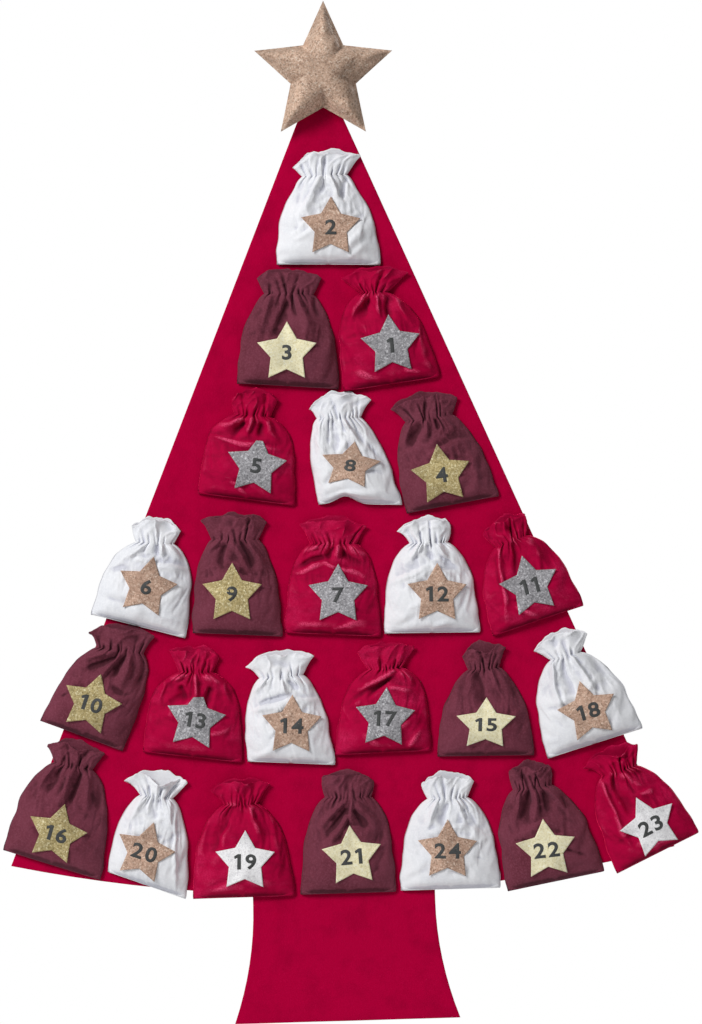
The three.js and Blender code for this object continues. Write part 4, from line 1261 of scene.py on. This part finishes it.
def makePatch(bag, bagObj):
    look = patchLook
    bm = bmesh.new()
    starTriangles(bm, look["tip"], look["inner"], bag["patchTurn"], look["cuts"])
    if bag["tipCut"]:  # the tip is bent out of sight
        bmesh.ops.bisect_plane(
            bm, geom=[*bm.verts, *bm.edges, *bm.faces], clear_outer=True,
            plane_co=(0, 0, bag["tipCut"]), plane_no=(0, 0, 1),
        )
    middle = wrapRow(bag, bagLook["hemRise"] + bag["drop"] - look["rise"])
    centreU = middle["shift"] + bag["patchRight"]
    centreV = middle["v"] - bag["patchUp"]
    surface = surfaceOf(bagObj)
    for v in bm.verts:
        spot = hang(bag, centreU + v.co.x, centreV - v.co.z * bag["patchTall"], 0)
        y = frontOf(surface, spot.x, spot.z)
        v.co = Vector((spot.x, spot.y - 0.002 if y is None else y, spot.z))
    floorY = {v: v.co.y for v in bm.verts}
    for _ in range(look["evenRounds"]):
        # a stiff patch spans the small folds, so its height is evened out, and it stays near the cloth
        level = {v: evenLevel(v) for v in bm.verts}
        for v in bm.verts:
            v.co.y = min(0.2 * floorY[v] + 0.8 * level[v], 0.3 * level[v] + 0.7 * v.co.y)
    for v in bm.verts:
        v.co.y -= look["gap"] * mm
    faceOutwards(bm, -1)
    finish, slotName = patchFinish[bag["cloth"]]
    name = "%02d" % bag["day"]
    obj = makeObject("patch" + name, bm, materials[highlitPatches.get(bag["day"], finish)])
    thicken(obj, look["thick"] * mm, 1)
    declare(obj, "bag_" + name, slotName, "star_patch_" + name)
    return obj, centreU, centreV


def pressUnder(bagObj, patch):
    # the cloth under a patch and just past its edge is pressed down to the patch's back
    beside = patchLook["pressed"] * mm
    around = [(0, 0), (beside, 0), (-beside, 0), (0, beside), (0, -beside)]
    cover = surfaceOf(patch)
    for v in bagObj.data.vertices:
        if v.normal.y >= 0.2:
            continue
        backs = [frontOf(cover, v.co.x + right, v.co.z + up) for right, up in around]
        backs = [y for y in backs if y is not None]
        if backs:
            v.co.y = max(v.co.y, max(backs) + patchLook["pressGap"] * mm)


def digitOne():
    # a stem with a short slanted flag
    bm = bmesh.new()
    corners = [(-0.07, 0), (0.17, 0), (0.17, 1), (-0.03, 1), (-0.3, 0.84), (-0.24, 0.68), (-0.07, 0.76)]
    tall = patchLook["numberHeight"]
    bm.faces.new([bm.verts.new((x * tall, 0, z * tall)) for x, z in corners])
    return bm


def digitFromFont(digit):
    curve = bpy.data.curves.new("digit", "FONT")
    curve.body = digit
    curve.offset = patchLook["bold"]
    curve.resolution_u = 6
    holder = bpy.data.objects.new("digit", curve)
    bpy.context.collection.objects.link(holder)
    graph = bpy.context.evaluated_depsgraph_get()
    bm = bmesh.new()
    bm.from_mesh(bpy.data.meshes.new_from_object(holder.evaluated_get(graph)))
    bpy.data.objects.remove(holder)
    bmesh.ops.remove_doubles(bm, verts=bm.verts, dist=1e-4)
    foot = min(v.co.y for v in bm.verts)
    scale = patchLook["numberHeight"] / (max(v.co.y for v in bm.verts) - foot)
    for v in bm.verts:
        v.co = Vector((v.co.x * scale * patchLook["numberWide"], 0, (v.co.y - foot) * scale))
    return bm


def flatNumber(day):
    # the digits side by side round the origin, as one flat mesh
    whole = bmesh.new()
    right = 0.0
    for digit in str(day):
        glyph = digitOne() if digit == "1" else digitFromFont(digit)
        left = min(v.co.x for v in glyph.verts)
        for v in glyph.verts:
            v.co += Vector((right - left, 0, 0))
        gap = patchLook["digitGap"] * (patchLook["afterOne"] if digit == "1" else 1.0)
        right = max(v.co.x for v in glyph.verts) + gap
        part = bpy.data.meshes.new("digit")
        glyph.to_mesh(part)
        glyph.free()
        whole.from_mesh(part)
        bpy.data.meshes.remove(part)
    middle = Vector(((right - patchLook["digitGap"]) / 2, 0, patchLook["numberHeight"] / 2))
    for v in whole.verts:
        v.co -= middle
    return whole


def makeNumber(bag, patch, centreU, centreV):
    look = patchLook
    bm = flatNumber(bag["day"])
    for axis in (0, 2):  # cut small, so that it bends with the patch
        for i in range(-9, 10):
            cutAcross(bm, axis, i * look["numberCell"] + 0.1, 1e-4)
    cover = surfaceOf(patch)
    turn = math.radians(bag["patchTurn"])
    for v in bm.verts:
        u = centreU + v.co.x * math.cos(turn) - v.co.z * math.sin(turn)
        w = centreV - (v.co.x * math.sin(turn) + v.co.z * math.cos(turn)) * bag["patchTall"]
        spot = hang(bag, u, w, 0)
        y = frontOf(cover, spot.x, spot.z)
        y = (spot.y if y is None else y) - (look["thick"] + look["numberLift"]) * mm
        v.co = Vector((spot.x, y, spot.z))
    faceOutwards(bm, -1)
    obj = makeObject("number%02d" % bag["day"], bm, materials["ink"])
    thicken(obj, look["numberThick"] * mm, 1)
    declare(obj, "bag_%02d" % bag["day"])
    return obj


def dressBag(bag):
    name = "%02d" % bag["day"]
    obj = makeBag(bag)
    patch, centreU, centreV = makePatch(bag, obj)
    pressUnder(obj, patch)
    number = makeNumber(bag, patch, centreU, centreV)
    markRidges(obj)
    thicken(obj, bagLook["cloth"] * mm, -1)
    declare(obj, "bag_" + name, bagSlots[bag["cloth"]], "bag_" + name)


for row in bagRows:
    dressBag(bagOf(row))
print("bags hung:", len(bagRows))


# Camera, light and background

cameraLook = {"lens": 100.0, "sensor": 36.0, "distance": 2.844, "centre": (0.0185, -0.461), "lean": 0.03}


def makeCamera():
    data = bpy.data.cameras.new("camera")
    data.lens = cameraLook["lens"]
    data.sensor_fit = "VERTICAL"
    data.sensor_height = cameraLook["sensor"]
    obj = bpy.data.objects.new("camera", data)
    bpy.context.collection.objects.link(obj)
    lean = cameraLook["lean"]
    level = math.sqrt(1 - lean * lean)
    x, z = cameraLook["centre"]
    obj.matrix_world = Matrix((
        (level, lean, 0, x),
        (0, 0, -1, -cameraLook["distance"]),
        (-lean, level, 0, z),
        (0, 0, 0, 1),
    ))
    bpy.context.scene.camera = obj


lightLook = {
    "key": {"place": (-2.6, -3.2, 1.9), "size": 1.6, "power": 176.0},
    "back": {"place": (1.8, 3.6, 0.9), "size": 2.2, "power": 110.0},
    "aim": (0.0, 0.0, -0.45),
    "ambient": 0.24,
}


def makeLamp(name):
    look = lightLook[name]
    data = bpy.data.lights.new(name, "AREA")
    data.size = look["size"]
    data.energy = look["power"]
    obj = bpy.data.objects.new(name, data)
    bpy.context.collection.objects.link(obj)
    obj.location = look["place"]
    aim = Vector(lightLook["aim"]) - Vector(look["place"])
    obj.rotation_euler = aim.to_track_quat("-Z", "Y").to_euler()


def makeWorld():
    world = bpy.data.worlds.new("studio")
    world.use_nodes = True
    bpy.context.scene.world = world
    nodes, links = world.node_tree.nodes, world.node_tree.links
    background = nodes["Background"]
    background.inputs["Color"].default_value = (1, 1, 1, 1)
    path = nodes.new("ShaderNodeLightPath")
    seen = path.outputs["Is Camera Ray"]
    for kind in ("Is Transmission Ray", "Is Glossy Ray"):
        either = nodes.new("ShaderNodeMath")
        either.operation = "MAXIMUM"
        links.new(seen, either.inputs[0])
        links.new(path.outputs[kind], either.inputs[1])
        seen = either.outputs[0]
    bright = nodes.new("ShaderNodeMapRange")
    links.new(seen, bright.inputs["Value"])
    bright.inputs["To Min"].default_value = lightLook["ambient"]
    bright.inputs["To Max"].default_value = 1.0
    links.new(bright.outputs["Result"], background.inputs["Strength"])


makeCamera()
makeLamp("key")
makeLamp("back")
makeWorld()
bpy.context.scene.view_settings.view_transform = "Standard"
print("camera and light set")
